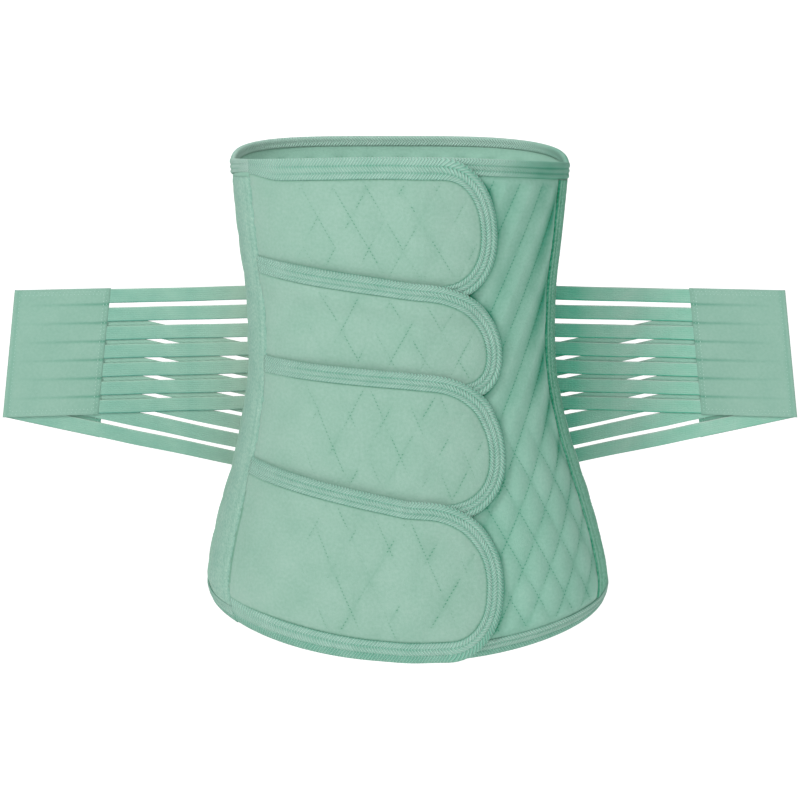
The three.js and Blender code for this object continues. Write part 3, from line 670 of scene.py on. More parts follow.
def cloth_material(name, light, dark, roughness, pattern, relief, stitched=False, deep=.6):
    """A cloth: its colour lies between dark and light as the pattern's shade says. Painted shade
    darkens it by deep where a stitched cloth is sunk (the painted_quilt_shading mark, painted
    light where negative), along its quilting lines and in its needle holes; any other cloth
    takes painted shade and light, and in the knit its grain, from its painted_shading_and_grain
    mark. The pattern's height is a bump."""
    material = bpy.data.materials.new(name)
    material.use_nodes = True
    tree = material.node_tree
    place = add_node(tree, "UVMap", {}, uv_map="cloth")[0]
    cloth = add_node(tree, "Group", {"Vector": place}, node_tree=pattern)
    shade, height = cloth["Shade"], cloth["Height"]
    if stitched:
        given = {"Rising": "rising", "Falling": "falling", "Height": "stitch"}
        given = {socket: mark_node(tree, mark) for socket, mark in given.items()}
        marks = add_node(tree, "Group", given, node_tree=NEEDLE_MARKS)
        plain, painted_quilt_shading = mark_node(tree, "quilted"), mark_node(tree, "painted_quilt_shading")
        line, hole = (math_node(tree, "MULTIPLY", marks[which], plain) for which in ("Line", "Hole"))
        squared = math_node(tree, "MULTIPLY", painted_quilt_shading, math_node(tree, "ABSOLUTE", painted_quilt_shading))
        # Painted shade: the signed square of painted_quilt_shading, the quilting's lines and its needle
        # holes darken the colour.
        shade = added(tree, line, -.06, added(tree, squared, -deep, shade))
        shade = added(tree, hole, -.85, shade)
        height = added(tree, hole, -1.2, height)
    else:
        # Painted shade and light from the painted_shading_and_grain mark, with the knit's grain in the side
        # strips.
        shade = added(tree, mark_node(tree, "painted_shading_and_grain"), -deep, shade)
    share = range_node(tree, shade, .28, .72, 0.0, 1.0, clamp=False)
    colours = add_node(tree, "Mix", {6: (*dark, 1), 7: (*light, 1), 0: share},
                       data_type="RGBA", clamp_factor=False)
    bump = add_node(tree, "Bump", {"Strength": relief, "Distance": BUMP_HEIGHT, "Height": height})
    fill(tree, tree.nodes["Principled BSDF"], {
        "Base Color": colours[2], "Roughness": roughness, "Specular IOR Level": .35,
        "Sheen Weight": .12, "Sheen Roughness": .5, "Normal": bump[0]})
    return material


# Each quilt's name, light and dark colour, and how much painted shade darkens it where it is
# sunk. quilted_cloth_painted_shade, for the right panel, is a painted-shade copy of the tabs'
# cloth, deeper and greener.
QUILTS = (("quilted_cloth", (.244, .388, .319), (.188, .339, .265), .35),
          ("quilted_cloth_back", (.226, .412, .325), (.176, .345, .262), .35),
          ("quilted_cloth_painted_shade", (.228, .415, .332), (.170, .357, .274), .6))
QUILT, QUILT_BACK, PANEL_SHADED = (cloth_material(*cloth, .85, WEAVE, .5, True, deep) for *cloth, deep in QUILTS)
BINDING = cloth_material("binding", (.290, .482, .398), (.232, .434, .346), .8, RIBS, 1.0, False, 1.1)
KNIT = cloth_material("knit", (.236, .405, .325), (.192, .362, .286), .85, KNITTED, .6)
# knit_painted_shade is a painted-shade copy of the knit, darker and greener, for the right side strip, which
# turns from the light.
KNIT_SHADED = cloth_material("knit_painted_shade", (.112, .360, .242), (.064, .290, .182), .85, KNITTED, .9)
# elastic_painted_shade is a copy of the elastic for the right straps, with a deeper dark colour for their
# painted shade beside the body.
ELASTICS = (("elastic", (.247, .428, .340), (.183, .370, .290)),
            ("elastic_painted_shade", (.256, .440, .355), (.172, .398, .300)))
ELASTIC, ELASTIC_SHADED = (cloth_material(*cloth, .7, CORDS, .6, False, 1.1) for cloth in ELASTICS)
PATCH = cloth_material("patch_cloth", (.220, .370, .300), (.178, .334, .263), .8, WEAVE, .4, False, 1.3)
THREAD_PALE = cloth_material("pale_thread", (.380, .560, .480), (.330, .510, .430), .7, WEAVE, .1)
THREAD = cloth_material("thread", (.240, .405, .330), (.205, .370, .295), .7, WEAVE, .1)


# ---- Quilted cloth ----

def diamonds(name, s, z):
    """A cloth's two sets of stitch lines: each value is whole on its lines and halfway between
    them between two lines. The length past the slanted line through the home crossing, over
    the spacing."""
    (home_s, home_z), *sets, _ = QUILTING[name]
    return [((s - home_s) - slope * (z - home_z)) / spacing for slope, spacing in sets]


def pillow(name, s, z):
    """0 on the stitch lines and 1 between them: for each set of lines, 1 less its pull times
    a power of the closeness to its nearest line, multiplied. The right panel pulls into
    folds along its rising lines above, and into diamonds below."""
    near = [1 - 2 * np.abs(n - np.round(n)) for n in diamonds(name, s, z)]
    rising, falling = QUILTING[name][3]
    if name == "front_panel_right":
        below = ease((-z - 30) / 70)
        folds = 1 - mix(1, rising, below) * near[0] ** mix(1.2, 2.0, below)
        return folds * (1 - mix(.1, falling, below) * near[1] ** 2)
    return (1 - rising * near[0] ** 2.6) * (1 - falling * near[1] ** 2.6)


def ripple(x, y, scale):
    """An uneven ripple of height about 1: three sines of slanted lengths over the scale."""
    x, y = x / scale, y / scale
    waves = ((5.1, 1.7, .7), (3.3, -2.9, 2.1), (7.7, 4.3, 4.2))
    return sum(np.sin(across * x + up * y + start) for across, up, start in waves) / len(waves)


def quilt_showing(s, z):
    """How plainly a tab's quilting shows: in patches, and hardly near the side seam. It scales
    the quilting's painted shade and needle marks, and which stitches are sewn.
    """
    return ease(.62 + .8 * ripple(s, z, 34.0)) * ease((s + 105) / 60)


def shows(name, which, s, z):
    """Whether a stretch of the rising (0) or falling (1) stitch lines has sunk in enough to
    show. On the tabs both sets come and go in patches; on the right panel the falling ones
    show only below, where the cloth is less tight."""
    patch = ripple(s + 57 * which, z - 31 * which, 27.0)
    if name == "front_panel_right":
        if which:
            return patch > mix(2.0, -.12, ease((-z - 62) / 20))
        return patch > mix(-.75, -.3, ease((-z - 40) / 60))
    return (patch > -.22) & (quilt_showing(s, z) > .3) if name.startswith("tab") else patch > -3


def quilted(name, s, z, home, lift, puff, room, material, extra=0.0, seam_shade=0.0, deepen=1.0):
    """A quilted sheet over a grid of pattern points. Its thickness rises from the stitch lines
    to the middles of the diamonds, and thins to the bare cloth's where room, the distance
    from the binding, runs out. extra raises its outer face, seam_shade paints shade
    on that face at its seams and edges (painted light where negative), and deepen makes the
    painted shade of the sunk places deeper."""
    flat = ease(room / FLAT_EDGE)
    soft = pillow(name, s, z)
    thick = mix(EDGE, mix(STITCHED, puff, soft), flat)
    middle = CLOTH_MIDDLE + lift(s, z)
    share = home + s / girth(z)
    points, faces = shell(on_body(share, z, middle + thick / 2 + extra),
                          on_body(share, z, middle - np.minimum(thick, PUFFED) / 2))
    rising, falling = (np.where(shows(name, which, s, z), value, np.floor(value) + .5)
                       for which, value in enumerate(diamonds(name, s, z)))
    showing = quilt_showing(s, z) if name.startswith("tab") else 1
    broad = mix(.55, 1, ease((-z - 10) / 60)) if name == "front_panel_right" else 1
    # Painted shade in the quilting's hollows where showing lets it show; the outer face adds seam_shade, and
    # the back panel's inner face gets LINING_PAINTED_LIGHT.
    painted_quilt_shading = (1 - soft) ** broad * flat * showing * .85 * deepen
    marks = {"rising": rising, "falling": falling, "stitch": z / (STITCH * .88), "quilted": flat * showing,
             "painted_quilt_shading": np.stack([painted_quilt_shading + seam_shade, painted_quilt_shading - LINING_PAINTED_LIGHT * (name == "back_panel")])}
    piece = add_cloth(name, points, faces, (s, z), marks, material)


def quilting_lines(name, s_range, z_range, keep):
    """The stretches of both sets of stitch lines that show and for which keep holds."""
    (home_s, home_z), *sets, _ = QUILTING[name]
    z = np.arange(z_range[0], z_range[1], 1.0)
    stretches = []
    for which, (slope, spacing) in enumerate(sets):
        reach = abs(slope) * (z_range[1] - z_range[0])
        first = math.floor((s_range[0] - home_s - reach) / spacing)
        last = math.ceil((s_range[1] - home_s + reach) / spacing)
        for n in range(first, last + 1):
            s = home_s + slope * (z - home_z) + n * spacing
            held = (keep(s, z) & shows(name, which, s, z)).astype(int)
            ends = np.flatnonzero(np.diff(np.concatenate([[0], held, [0]])))
            for a, b in zip(ends[::2], ends[1::2]):
                if b - a > 4:
                    stretches.append(np.stack([s[a:b], z[a:b]], 1))
    return stretches

def sew_quilting(name, lines, home, lift, puff, faces=(1,)):
    """The quilting's stitches on a cloth's outer face, or on both."""
    for face in faces:
        def place(s, z, above, face=face):
            thick = mix(STITCHED, puff, pillow(name, s, z))
            out = CLOTH_MIDDLE + lift(s, z) + face * (thick / 2 + above)
            return on_body(home + s / girth(z), z, out)
        word = "stitches" if face > 0 else "inner_stitches"
        sew(f"{name}_{word}", lines, place, QUILT_THREAD, THREAD)


def tab_grid(k, step):
    """A tab's grid of pattern points: a blend of its four sides, which are its seam, its two
    edges as far as the middle of each rounded corner, and its nose between them."""
    line = tab_line(k, 0.5)[:, :2]
    over, under = (root + NOSE_CORNER * nose for _, root, nose in tab_bounds(k)[:2])
    tip = int(np.argmax(line[:, 0]))
    top = int(np.argmin(np.abs(line[:tip, 0] - over)))
    bottom = tip + int(np.argmin(np.abs(line[tip:, 0] - under)))
    u = np.linspace(0, 1, int(walked(line[:top + 1])[-1] / step))
    v = np.linspace(0, 1, int((line[0, 1] - line[-1, 1]) / step))
    upper, lower = along(line[:top + 1], u)[None], along(line[bottom:][::-1], u)[None]
    z_seam = mix(line[0, 1], line[-1, 1], v)
    seam = np.stack([left_seam(z_seam), z_seam], -1)
    seam = (seam + mix(line[0] - seam[0], line[-1] - seam[-1], v[:, None]))[:, None]
    end = along(line[top:bottom + 1], v)[:, None]
    u, v = u[None, :, None], v[:, None, None]
    corners = mix(mix(line[0], line[top], u), mix(line[-1], line[bottom], u), v)
    grid = mix(upper, lower, v) + mix(seam, end, u) - corners
    return grid[..., 0], grid[..., 1]


def telegraphed(s, z):
    """What shows through a tab: a fine ridge and a small step where the right panel's edge
    lies under it, and puckers along the side seam that fade in a few millimetres."""
    past = s - underlap_edge(z)
    seam = s - left_seam(z)
    step = .22 * hill(past, 1.3) + .1 * np.tanh(past / 1.5)
    return step + .28 * np.exp(-seam / 6) * ripple(z, s, 9.0) + .12 * ripple(s, z, 42.0)

def make_tab(k):
    """One tab of the closure, with its quilting's stitches. It has painted shade along its
    binding, and painted light beside the next tab's edge, against the shade that falls there."""
    name = f"tab_{k + 1}"
    s, z = tab_grid(k, TAB_STEP)
    line = tab_line(k, 4.0)
    inner = inward(line)

    def inside(s, z):
        return np.where(within(s, z, inner), distance_to(s, z, inner), 0)
    room = np.minimum(inside(s, z), s - left_seam(z) + 2)
    puckers = .16 * np.exp(-room / 4) * np.sin(s / 1.6 + 2 * np.sin(s / 7)) * ease(room / 1.5)
    # Painted shade at the binding's inner edge, and painted light beside the next tab's edge against the
    # shade there.
    shade = 1.4 * hill(room, 1.3)
    if k + 1 < len(TABS):
        shade = shade - .8 * np.exp(-distance_to(s, z, TAB_LINES[k + 1][:, :2]) / 4)
    quilted(name, s, z, 0.0, lift_of(k), TAB_PUFF, room, QUILT, telegraphed(s, z) + puckers, shade)
    lines = quilting_lines(name, (line[0, 0] - 10, TAB_REACH), (line[:, 1].min(), line[:, 1].max()),
                           lambda s, z: inside(s, z) > 1)
    sew_quilting(name, lines, 0.0, lambda s, z: lift_of(k)(s, z) + telegraphed(s, z), TAB_PUFF)


def between_edges(v, share_at, margin=0.0):
    """The share and the height at v of the way from the hem to the rim, a margin in from both.
    Each hangs on the other, so they are found in a few rounds. share_at gives the share at a
    height."""
    z = mix(-HEM_SIDE, RIM_SIDE, v)
    for _ in range(4):
        share = share_at(z)
        z = mix(hem(share) + margin, rim(share) - margin, v)
    return share, z


def off_bindings(share, z):
    """How far a place is from the nearer binding of the rim and the hem."""
    return np.minimum(z - hem(share), rim(share) - z) - BINDING_WIDTH


def panel_grid(left, right, step, home):
    """A panel's grid between two side lines, given as shares over the height, from hem to rim."""
    t = np.linspace(0, 1, int((right(0.0) - left(0.0)) * girth(0.0) / step))[None, :]
    v = np.linspace(0, 1, int((RIM_SIDE + HEM_SIDE) / step))[:, None]
    share, z = between_edges(v, lambda z: mix(left(z), right(z), t))
    return (share - home) * girth(z), z, share


def make_back_panel():
    """The back panel, with flat margins under the side strips."""
    def off_strips(share, z):
        return np.minimum(share - RIGHT_SEAM, 1 + LEFT_SEAM - share) * girth(z) - SIDE_STRIP_WIDTH

    def keep(s, z):
        share = .5 + s / girth(z)
        return (off_bindings(share, z) > 1) & (off_strips(share, z) > 1)
    s, z, share = panel_grid(lambda z: RIGHT_SEAM + SEAM_GAP / 2 / girth(z),
                             lambda z: 1 + LEFT_SEAM - SEAM_GAP / 2 / girth(z), BACK_STEP, 0.5)
    room = np.minimum(off_bindings(share, z), off_strips(share, z))
    quilted("back_panel", s, z, 0.5, panel_lift(.5), BACK_PUFF, room, QUILT_BACK)
    lines = quilting_lines("back_panel", (-300, 300), (-230, 165), keep)
    sew_quilting("back_panel", lines, 0.5, panel_lift(.5), BACK_PUFF, (1, -1))


def make_right_panel():
    """The right front panel. It has painted shade along its seam and painted shadows of the
    tabs' edges and the rim's binding, and deeper painted shade where it turns to the side,
    away from the light."""
    s, z, share = panel_grid(lambda z: underlap_edge(z) / girth(z),
                             lambda z: RIGHT_SEAM - SEAM_GAP / 3 / girth(z), PANEL_STEP, 0.0)
    beside = (RIGHT_SEAM - share) * girth(z)
    near = np.min([distance_to(s, z, line[:, :2]) for line in TAB_LINES], axis=0)
    below_rim = np.maximum(rim(share) - z - BINDING_WIDTH, 0)
    # Painted shade in the seam's groove, painted shadows beside the tabs' edges and under the rim's binding;
    # turned is painted shade where the panel turns from the light, and deepens its quilting's painted shade.
    dark = np.maximum(.9 * ease(1.3 - beside / 3), 1.25 * np.exp(-np.maximum(near - 1.5, 0) / 2))
    dark = np.maximum(dark, 1.1 * np.exp(-below_rim / 1.6))
    turned = ease(1 - beside / 36) * mix(1, .4, ease((-z - 80) / 60))
    seam = .3 * np.exp(-beside / 5) * ripple(z, s, 7.0)
    room = np.minimum(off_bindings(share, z), beside + 1)
    quilted("front_panel_right", s, z, 0.0, panel_lift(0), PANEL_PUFF, room, PANEL_SHADED, seam,
            dark + .25 * turned, 1 + .8 * turned)

    def uncovered(s, z):
        share = s / girth(z)
        clear = (share < RIGHT_SEAM - 1 / girth(z)) & (s > underlap_edge(z) + 2)
        for line in TAB_LINES:
            clear &= ~within(s, z, line[:, :2])
        return clear & (off_bindings(share, z) > 1)
    lines = quilting_lines("front_panel_right", (20, 160), (-240, 150), uncovered)
    sew_quilting("front_panel_right", lines, 0.0, panel_lift(0), PANEL_PUFF)


# ---- Bindings ----

def binding_section(width, full):
    """A binding folded over an edge: a closed ring of points with their distances in from the
    edge and out from the cloth's middle, and how deep in a stitch row's valley each lies,
    which becomes painted shade. The outer leg has three soft ridges between two stitch rows,
    the fold is round, the inner leg is shorter, and the ring comes back just within. full is
    1, or less where the binding is sewn flat."""
    start = (EDGE / 2 + GAP) * full
    ridge = width / 6
    w = np.linspace(width, ridge, 17)[:-1]
    crest = np.abs(np.sin(3 * np.pi * w / width)) ** .8
    leg = np.stack([w, start + (.3 + 1.0 * crest) * full, (1 - crest) ** 2], 1)
    turn = np.linspace(np.pi / 2, -np.pi / 2, 9)
    fold = np.stack([ridge - (ridge + GAP + BINDING_WALL) * np.cos(turn) ** .8,
                     (start + 1.3 * full) * np.sin(turn), 0 * turn], 1)
    w = np.linspace(ridge, INNER_LEG * width, 7)[1:]
    skin = np.stack([w, 0 * w - start - np.where(w > (INNER_LEG - .05) * width, .3, .9) * full, 0 * w], 1)
    outer = np.concatenate([leg, fold, skin])
    hidden = outer.copy()
    hidden[:, 1] = np.sign(outer[:, 1]) * np.minimum(np.abs(outer[:, 1]), start - .15)
    hidden[:, 0] = np.maximum(outer[:, 0], -.3)
    return np.concatenate([outer, hidden[::-1]])


def bind(name, line, side, lift, shares=None):
    """A binding along a line of edge points and widths, with its two stitch rows. side is the
    unit direction in from the edge at each point. A tab's binding has no shares; the others
    go round the torso by them. It has painted shade in its stitch rows' valleys, where it
    rolls under, where it faces the side and where it is turned away from the light, and is
    darker where it is sewn flat; the rim's has painted light on its left and its inner leg."""
    on_tab = shares is None

    def locate(inwards, outwards):
        z = line[:, 1:2] + side[:, 1:] * inwards
        s = line[:, :1] + side[:, :1] * inwards if on_tab else shares[:, None] * girth(z)
        return on_body(s / girth(z), z, CLOTH_MIDDLE + lift(s, z) + outwards)
    if on_tab:
        full = mix(.45, 1, ease((line[:, 0] - left_seam(line[:, 1])) / SEAM_FLAT))
        under = ease((-198 - line[:, 1:2]) / 22)
    else:
        full = mix(.5, 1, ease((1 + LEFT_SEAM - shares) * 25))
        under = float(name == "bottom_binding")
    sections = np.stack([binding_section(width, f) for width, f in zip(line[:, 2], full)])
    inwards, outwards, painted_shading_and_grain = np.moveaxis(sections, -1, 0)
    points, faces = tape(locate(inwards, outwards))
    lengths = walked(points[:, 0])
    across = inwards / line[:, 2:3] * BINDING_WIDTH
    # Painted shade where a hem's binding rolls under (rolled), on the flank that faces the side (beside) and
    # in the stitch rows' valleys; a tab's binding is also darker where sewn flat.
    rolled = .65 * under * ease((5.5 - across) / 3)
    beside = .9 * ease((2.6 - across) / 2) * np.clip(-side[:, :1], 0, 1)
    dark = np.maximum(painted_shading_and_grain * np.clip(2 * full - 1, 0, 1)[:, None], np.maximum(rolled, beside))
    if on_tab:
        dark = dark + .2 * (1 - full)[:, None]
    # The rim's binding has painted shade on its right stretch, turned from the light, and painted light on
    # its left stretch and its inner leg.
    if name == "top_binding":
        turned = 1.05 * ease((shares - .095) / .07) * ease((.38 - shares) / .1)
        turned = turned - .3 * ease((shares - .75) / .05)
        dark = dark + turned[:, None] - .4 * (outwards < -.3)
    add_cloth(name, points, faces, (lengths[:, None], across), {"painted_shading_and_grain": dark}, BINDING)

    steps = np.arange(STITCH, lengths[-1] - STITCH, STITCH)
    rest = (EDGE / 2 + GAP + .4) * full[:, None]
    rows = []
    for part in (1 / 3, 2 / 3):
        edges = (locate(part * line[:, 2:3], rest + rise)[:, 0] for rise in (0, 1))
        low, high = (read_off(edge, lengths, steps) for edge in edges)
        rows.append((low, unit(np.gradient(low, axis=0)), unit(high - low)))
    frames = (np.concatenate(values) for values in zip(*rows))
    length = STITCH * BINDING_STITCH_SHOWN
    add_stitches(f"{name}_stitches", *frames, length, BINDING_THREAD, THREAD, "binding")


def make_bindings():
    """The bindings of the tabs, and those of the panels' rim and hem."""
    for k in range(len(TABS)):
        line = tab_line(k, 1.5)
        side = (inward(line) - line[:, :2]) / line[:, 2:3]
        bind(f"tab_binding_{k + 1}", line, side, lift_of(k))
    for name, edge, down in (("top_binding", rim, -1), ("bottom_binding", hem, 1)):
        level = float(edge(np.array(.02)))
        start = underlap_edge(level) / girth(level)
        shares = np.linspace(start, 1 + LEFT_SEAM + .001, 420)
        z = edge(shares)
        width = BINDING_WIDTH + 0 * z
        if name == "top_binding":
            width = mix(BINDING_WIDTH, RIM_LEFT_BINDING, ease((shares - .74) / .07))
        line = np.stack([0 * z, z, width], 1)
        side = np.stack([0 * z, 0 * z + down], 1)
        bind(name, line, side, rim_lift if edge is rim else panel_lift(0), shares)


# ---- Side strips ----

def make_side_strip(name, seam, inwards, material, proud):
    """A knitted strip over the back panel's margin, from a side seam at a share to its other
    edge. It laps a little over the front cloth, standing proud of it, and is sewn down by
    zigzag rows, whose furrows have painted shade."""
    rest = CLOTH_MIDDLE + EDGE / 2 + .05

    def ground(across, v):
        return between_edges(v, lambda z: seam + inwards * across / girth(z), BINDING_WIDTH + SEAM_GAP)

    def place(across, v, above):
        share, z = ground(across, v)
        lapped = across + SEAM_OVERLAP
        t = lapped / (SIDE_STRIP_WIDTH + SEAM_OVERLAP)
        near = np.minimum(lapped, SIDE_STRIP_WIDTH - across)
        body = .2 + .5 * (1 - np.abs(2 * t - 1) ** 14) + proud * ease(1.3 - across / 4)
        pucker = .25 * np.exp(-near / 5) * ripple(z, across, 8.0) - .3 * hill(near - 3.2, 1.4)
        thin = mix(ease(lapped / 4), 1, proud)
        return on_body(share, z, rest + (body + pucker) * thin - .15 * (1 - proud) + above)
    across = np.linspace(-SEAM_OVERLAP, SIDE_STRIP_WIDTH, 36)[None, :]
    v = np.linspace(0, 1, 240)[:, None]
    points, faces = shell(place(across, v, 0.0), on_body(*ground(across, v), rest - .2))
    # Painted shade in the seam's furrow, beside the zigzag rows and towards the far edge, which turns from
    # the light, and paler along the first row; the proud right strip has painted shade above and painted
    # light below. The knit's grain is added.
    dark = (.9 * hill(across + .2, 1.1) - .6 * hill(across - 2.8, 1.4) + .5 * hill(across - 6.5, 1.8)
            - .2 * hill(across - 10.5, 2.2) + .5 * ease((across - 13) / 8)) * mix(.55, 1, proud)
    dark = dark + proud * mix(-.3, .5, ease((v - .25) / .3))
    grain = ripple(v * 330, across * 1.7, 2.6) * ripple(v * 330, across, 19.0)
    dark = dark + (.1 + .5 * grain) * mix(.3, 1, proud)
    add_cloth(name, points, faces, (across, v * (RIM_SIDE + HEM_SIDE)), {"painted_shading_and_grain": dark}, material)

    count = int((RIM_SIDE + HEM_SIDE) / ZIGZAG_PITCH)
    heights, swing = np.linspace(.005, .995, count), ZIGZAG_SWING * (np.arange(count) % 2 - .5)
    rows = []
    for middle in ZIGZAG_ROWS:
        low, high = (place(middle + swing, heights, above) for above in (-.05, 1.0))
        length = ZIGZAG_STITCH_SHOWN * np.linalg.norm(np.diff(low, axis=0), axis=1).mean()
        rows.append((*between_holes(low, high), np.full(count - 1, length)))
    frames = (np.concatenate(values) for values in zip(*rows))
    add_stitches(f"{name}_stitches", *frames, ZIGZAG_THREAD, THREAD, "knit")


# ---- Pull straps ----

def on_back(x, z):
    """The depth of the hollow's back at a distance to the side: the section's own curve."""
    across = np.abs((x - lean_of(z)) / section("width", WIDTHS, z))
    return section("back", BACKS, z) * (1 - across ** BACK_ROUNDNESS) ** (1 / BACK_ROUNDNESS)


def strap_end(z):
    """How far out the straps reach at a height: the ends lean outwards below."""
    return STRAP_REACH + STRAP_FLARE * (STRAP_TOP - z) / (STRIPS * STRIP_PITCH)


def on_strap(side, across, z, layer):
    """A place on the straps' sheet: on the back as far as its root, then straight out to the
    hand patch."""
    across, z = np.broadcast_arrays(np.asarray(across, float), np.asarray(z, float))
    rest = CLOTH_MIDDLE + PUFFED / 2 + LAYER_GAP
    near = on_back(side * np.minimum(across, STRAP_ROOT), z) + rest
    t = np.clip((across - STRAP_ROOT) / (strap_end(z) - STRAP_ROOT), 0, None)
    return np.stack([side * across, mix(near, STRAP_END_DEPTH, t) + layer, z], -1)


def make_strip(word, band, i):
    """One elastic strip, slightly crowned and corded, that sways a little between its ends. It
    has a painted shadow along its lower edge and painted light along its top edge. Where it
    lies behind the other band it has painted light, and beside the body the right strips have
    a painted shadow of the body and the left ones painted light."""
    side, everywhere, behind, at_body = STRAP_SIDES[word]
    slope, layer, width = BANDS[band]
    face = np.linspace(0, 1, 21)
    crown = (1 - (2 * face - 1) ** 8) * STRIP_CROWN + .05 * np.cos(16 * np.pi * face)
    profile = np.concatenate([face, face[::-1]])
    out = np.concatenate([STRIP_WALL - STRIP_CROWN + crown, STRIP_CROWN - crown[::-1]])
    top = STRAP_TOP - i * STRIP_PITCH
    end = strap_end(top) - 2 * PATCH_MARGIN
    across = np.linspace(STRAP_ROOT - STRAP_TAIL, end, 64)[:, None]
    loose = ease((across - STRAP_ROOT) / 40) * ease((end - PATCH_LENGTH - across) / 30)
    sway = .35 * ripple(across, i * 29.0 + side * 11 + layer * 7, 95.0) * loose
    z = top + slope * (end - across) - profile * width + sway
    points, faces = tape(on_strap(side, across, z, layer + out + .5 * sway))
    # Painted shadow along the lower edge, strong on the upper band, and painted light along the top edge.
    dark = (.9 if band == "upper" else .1) * ease((profile - .91) * 16) - .45 * ease((.1 - profile) * 14)
    # Painted light where the lower band lies behind the upper one.
    if band == "lower":
        lowest = STRAP_TOP - (STRIPS - 1) * STRIP_PITCH - STRIP_WIDTH + UPPER_BAND_RISE * (end - across)
        dark = dark + behind * ease((z - lowest) / STRIP_WIDTH)
    # Painted shade everywhere on the left, and beside the body a painted shadow on the right and painted
    # light on the left.
    dark = dark + everywhere + at_body * hill(np.maximum(across - 128, 0), 27) * ease((across - 60) / 55)
    add_cloth(f"strap_{word}_{band}_{i + 1}", points, faces, (across, profile * width), {"painted_shading_and_grain": dark},
              ELASTIC_SHADED if word == "right" else ELASTIC)


def make_patch(word, face):
    """One of a hand patch's two covers. The strips press through it, more towards the inner
    edge, and it is sewn down by two rows of stitches round its edges."""
    side = STRAP_SIDES[word][0]
    slope, _, width = BANDS["upper" if face == "front" else "lower"]
    rest, away = (-GAP - PATCH_WALL, -1) if face == "front" else (2 * STRIP_WALL + 2 * GAP + PATCH_WALL, 1)
    depth = (STRIPS - 1) * STRIP_PITCH + STRIP_WIDTH + 2 * PATCH_MARGIN
    name = f"hand_patch_{word}_{face}"

    def below_strip(down):
        return (down - PATCH_MARGIN) % STRIP_PITCH - width

    def place(share, down, above):
        top = STRAP_TOP + PATCH_MARGIN - down
        length, below = share * PATCH_LENGTH, below_strip(down)
        pressed = mix(.35, 1, np.where(below < 0, 1 + below / width, ease(1 - below / .8)))
        edge = np.minimum(np.minimum(down, depth - down), np.minimum(length, PATCH_LENGTH - length))
        relief = (.9 * pressed - .75) * mix(.1, 1, share ** 1.5) - .25
        relief += .2 * ripple(down, length, 30.0) * ease(edge / 6) - .25 * hill(edge - PATCH_INSET, .8)
        relief = mix(relief, -1.05, ease((share - .94) / .06))
        return on_strap(side, strap_end(top) - length, top + slope * length, rest + away * (relief + above))
    share = np.linspace(0, 1, 50)[None, :]
    down = np.linspace(0, depth, 130)[:, None]
    thin = PATCH_WALL * mix(.7, .4, ease((share - .8) * 5))
    points, faces = shell(place(share, down, -.3 * (PATCH_WALL - thin)), place(share, down, -thin))
    length = share * PATCH_LENGTH
    # Painted shadow under each strip's edge that presses through, stronger towards the inner edge, and
    # painted shade in the grooves along the stitch rows at both ends.
    dark = hill(below_strip(down) - .9, 1.1) * mix(0, .8, share ** 1.4) * (down < depth - 4)
    dark = dark + .3 * (hill(PATCH_LENGTH - length - 2.4, .9) + hill(length - 3.6, 1.6))
    add_cloth(name, points, faces, (length, down), {"painted_shading_and_grain": dark}, PATCH)

    loops = [np.array([(n, n), (PATCH_LENGTH - n, n), (PATCH_LENGTH - n, depth - n), (n, depth - n), (n, n)])
             for n in (PATCH_INSET, PATCH_INSET + PATCH_ROWS_APART)]
    sew(f"{name}_stitches", loops, lambda s, z, above: place(s / PATCH_LENGTH, z, above),
        PATCH_THREAD, THREAD_PALE)


make_back_panel()
make_right_panel()
for number in range(len(TABS)):
    make_tab(number)
make_bindings()
make_side_strip("side_strip_right", RIGHT_SEAM, 1, KNIT_SHADED, .9)
make_side_strip("side_strip_left", 1 + LEFT_SEAM, -1, KNIT, .15)
for side_word in STRAP_SIDES:
    for band_word in BANDS:
        for number in range(STRIPS):
            make_strip(side_word, band_word, number)
for side_word in STRAP_SIDES:
    for face_word in ("front", "back"):
        make_patch(side_word, face_word)


# ---- Studio ----

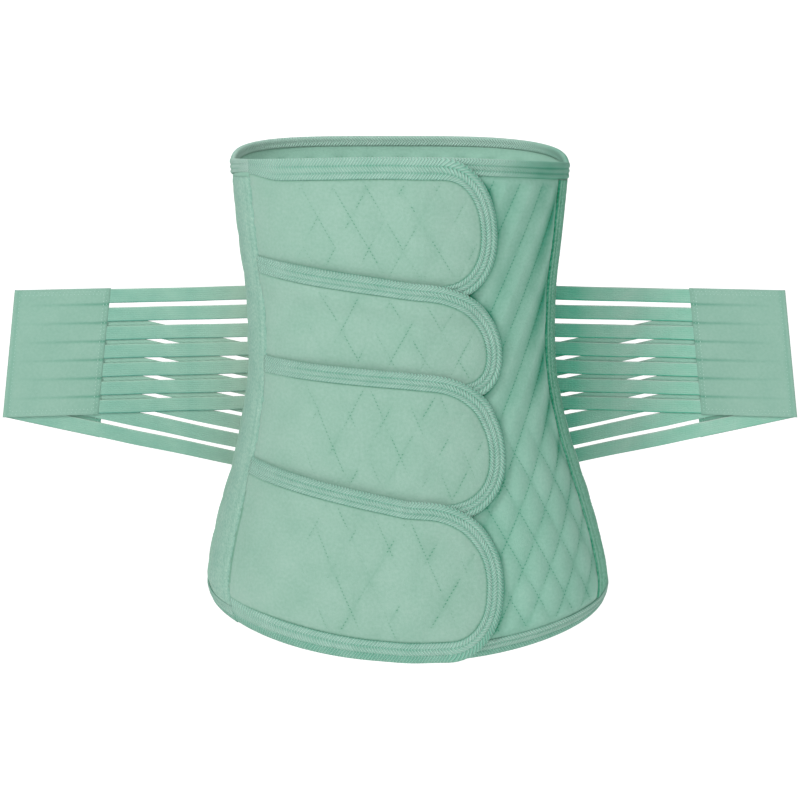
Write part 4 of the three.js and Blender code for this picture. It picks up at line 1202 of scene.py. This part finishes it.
def area_light(name, place, aim, size, power):
    """A square soft light at a place, in metres, facing a point."""
    light = bpy.data.lights.new(name, "AREA")
    light.shape = "SQUARE"
    light.size = size
    light.energy = power
    lamp = new_object(name, light)
    lamp.visible_camera = False
    lamp.location = place
    lamp.rotation_euler = (Vector(aim) - Vector(place)).to_track_quat("-Z", "Y").to_euler()


def studio():
    """A pale floor that rises behind into a backdrop, soft light and the camera, in metres."""
    floor, front, corner, bend, top = -.85, -4.0, 2.2, 1.2, 4.0
    turn = np.linspace(0, np.pi / 2, 24)
    bent = [(corner + bend * math.sin(a), floor + bend - bend * math.cos(a)) for a in turn]
    profile = [(front, floor), *bent, (corner + bend, top)]
    mesh = bpy.data.meshes.new("backdrop")
    mesh.from_pydata([(x, y, z) for x in (-6.0, 6.0) for y, z in profile], [],
                     grid_faces(2, len(profile)).tolist())
    mesh.shade_smooth()
    pale = bpy.data.materials.new("backdrop")
    pale.use_nodes = True
    fill(pale.node_tree, pale.node_tree.nodes["Principled BSDF"], {
        "Base Color": (.97, .97, .965, 1), "Roughness": .9,
        "Emission Color": (1, 1, 1, 1), "Emission Strength": .34})
    mesh.materials.append(pale)
    backdrop = new_object("backdrop", mesh)

    scene = bpy.context.scene
    world = bpy.data.worlds.new("studio")
    world.use_nodes = True
    fill(world.node_tree, world.node_tree.nodes["Background"], {"Color": (1, 1, 1, 1), "Strength": .5})
    scene.world = world
    area_light("key", (-1.35, -1.6, 1.35), (0, 0, -.05), .5, 29.2)
    area_light("fill", (.35, -2.4, .6), (0, 0, -.05), 1.4, 24)
    area_light("inner", (0, -.05, .5), (0, .06, .1), .25, .5)

    camera = bpy.data.cameras.new("camera")
    camera.sensor_width = 36
    camera.lens = 123.75
    eye = new_object("camera", camera)
    tilt, distance, aim_height = math.radians(7), 2.2, -.0484
    eye.location = (0, -distance * math.cos(tilt), aim_height + distance * math.sin(tilt))
    eye.rotation_euler = (math.pi / 2 - tilt, 0, 0)
    scene.camera = eye
    scene.view_settings.view_transform = "Standard"


studio()
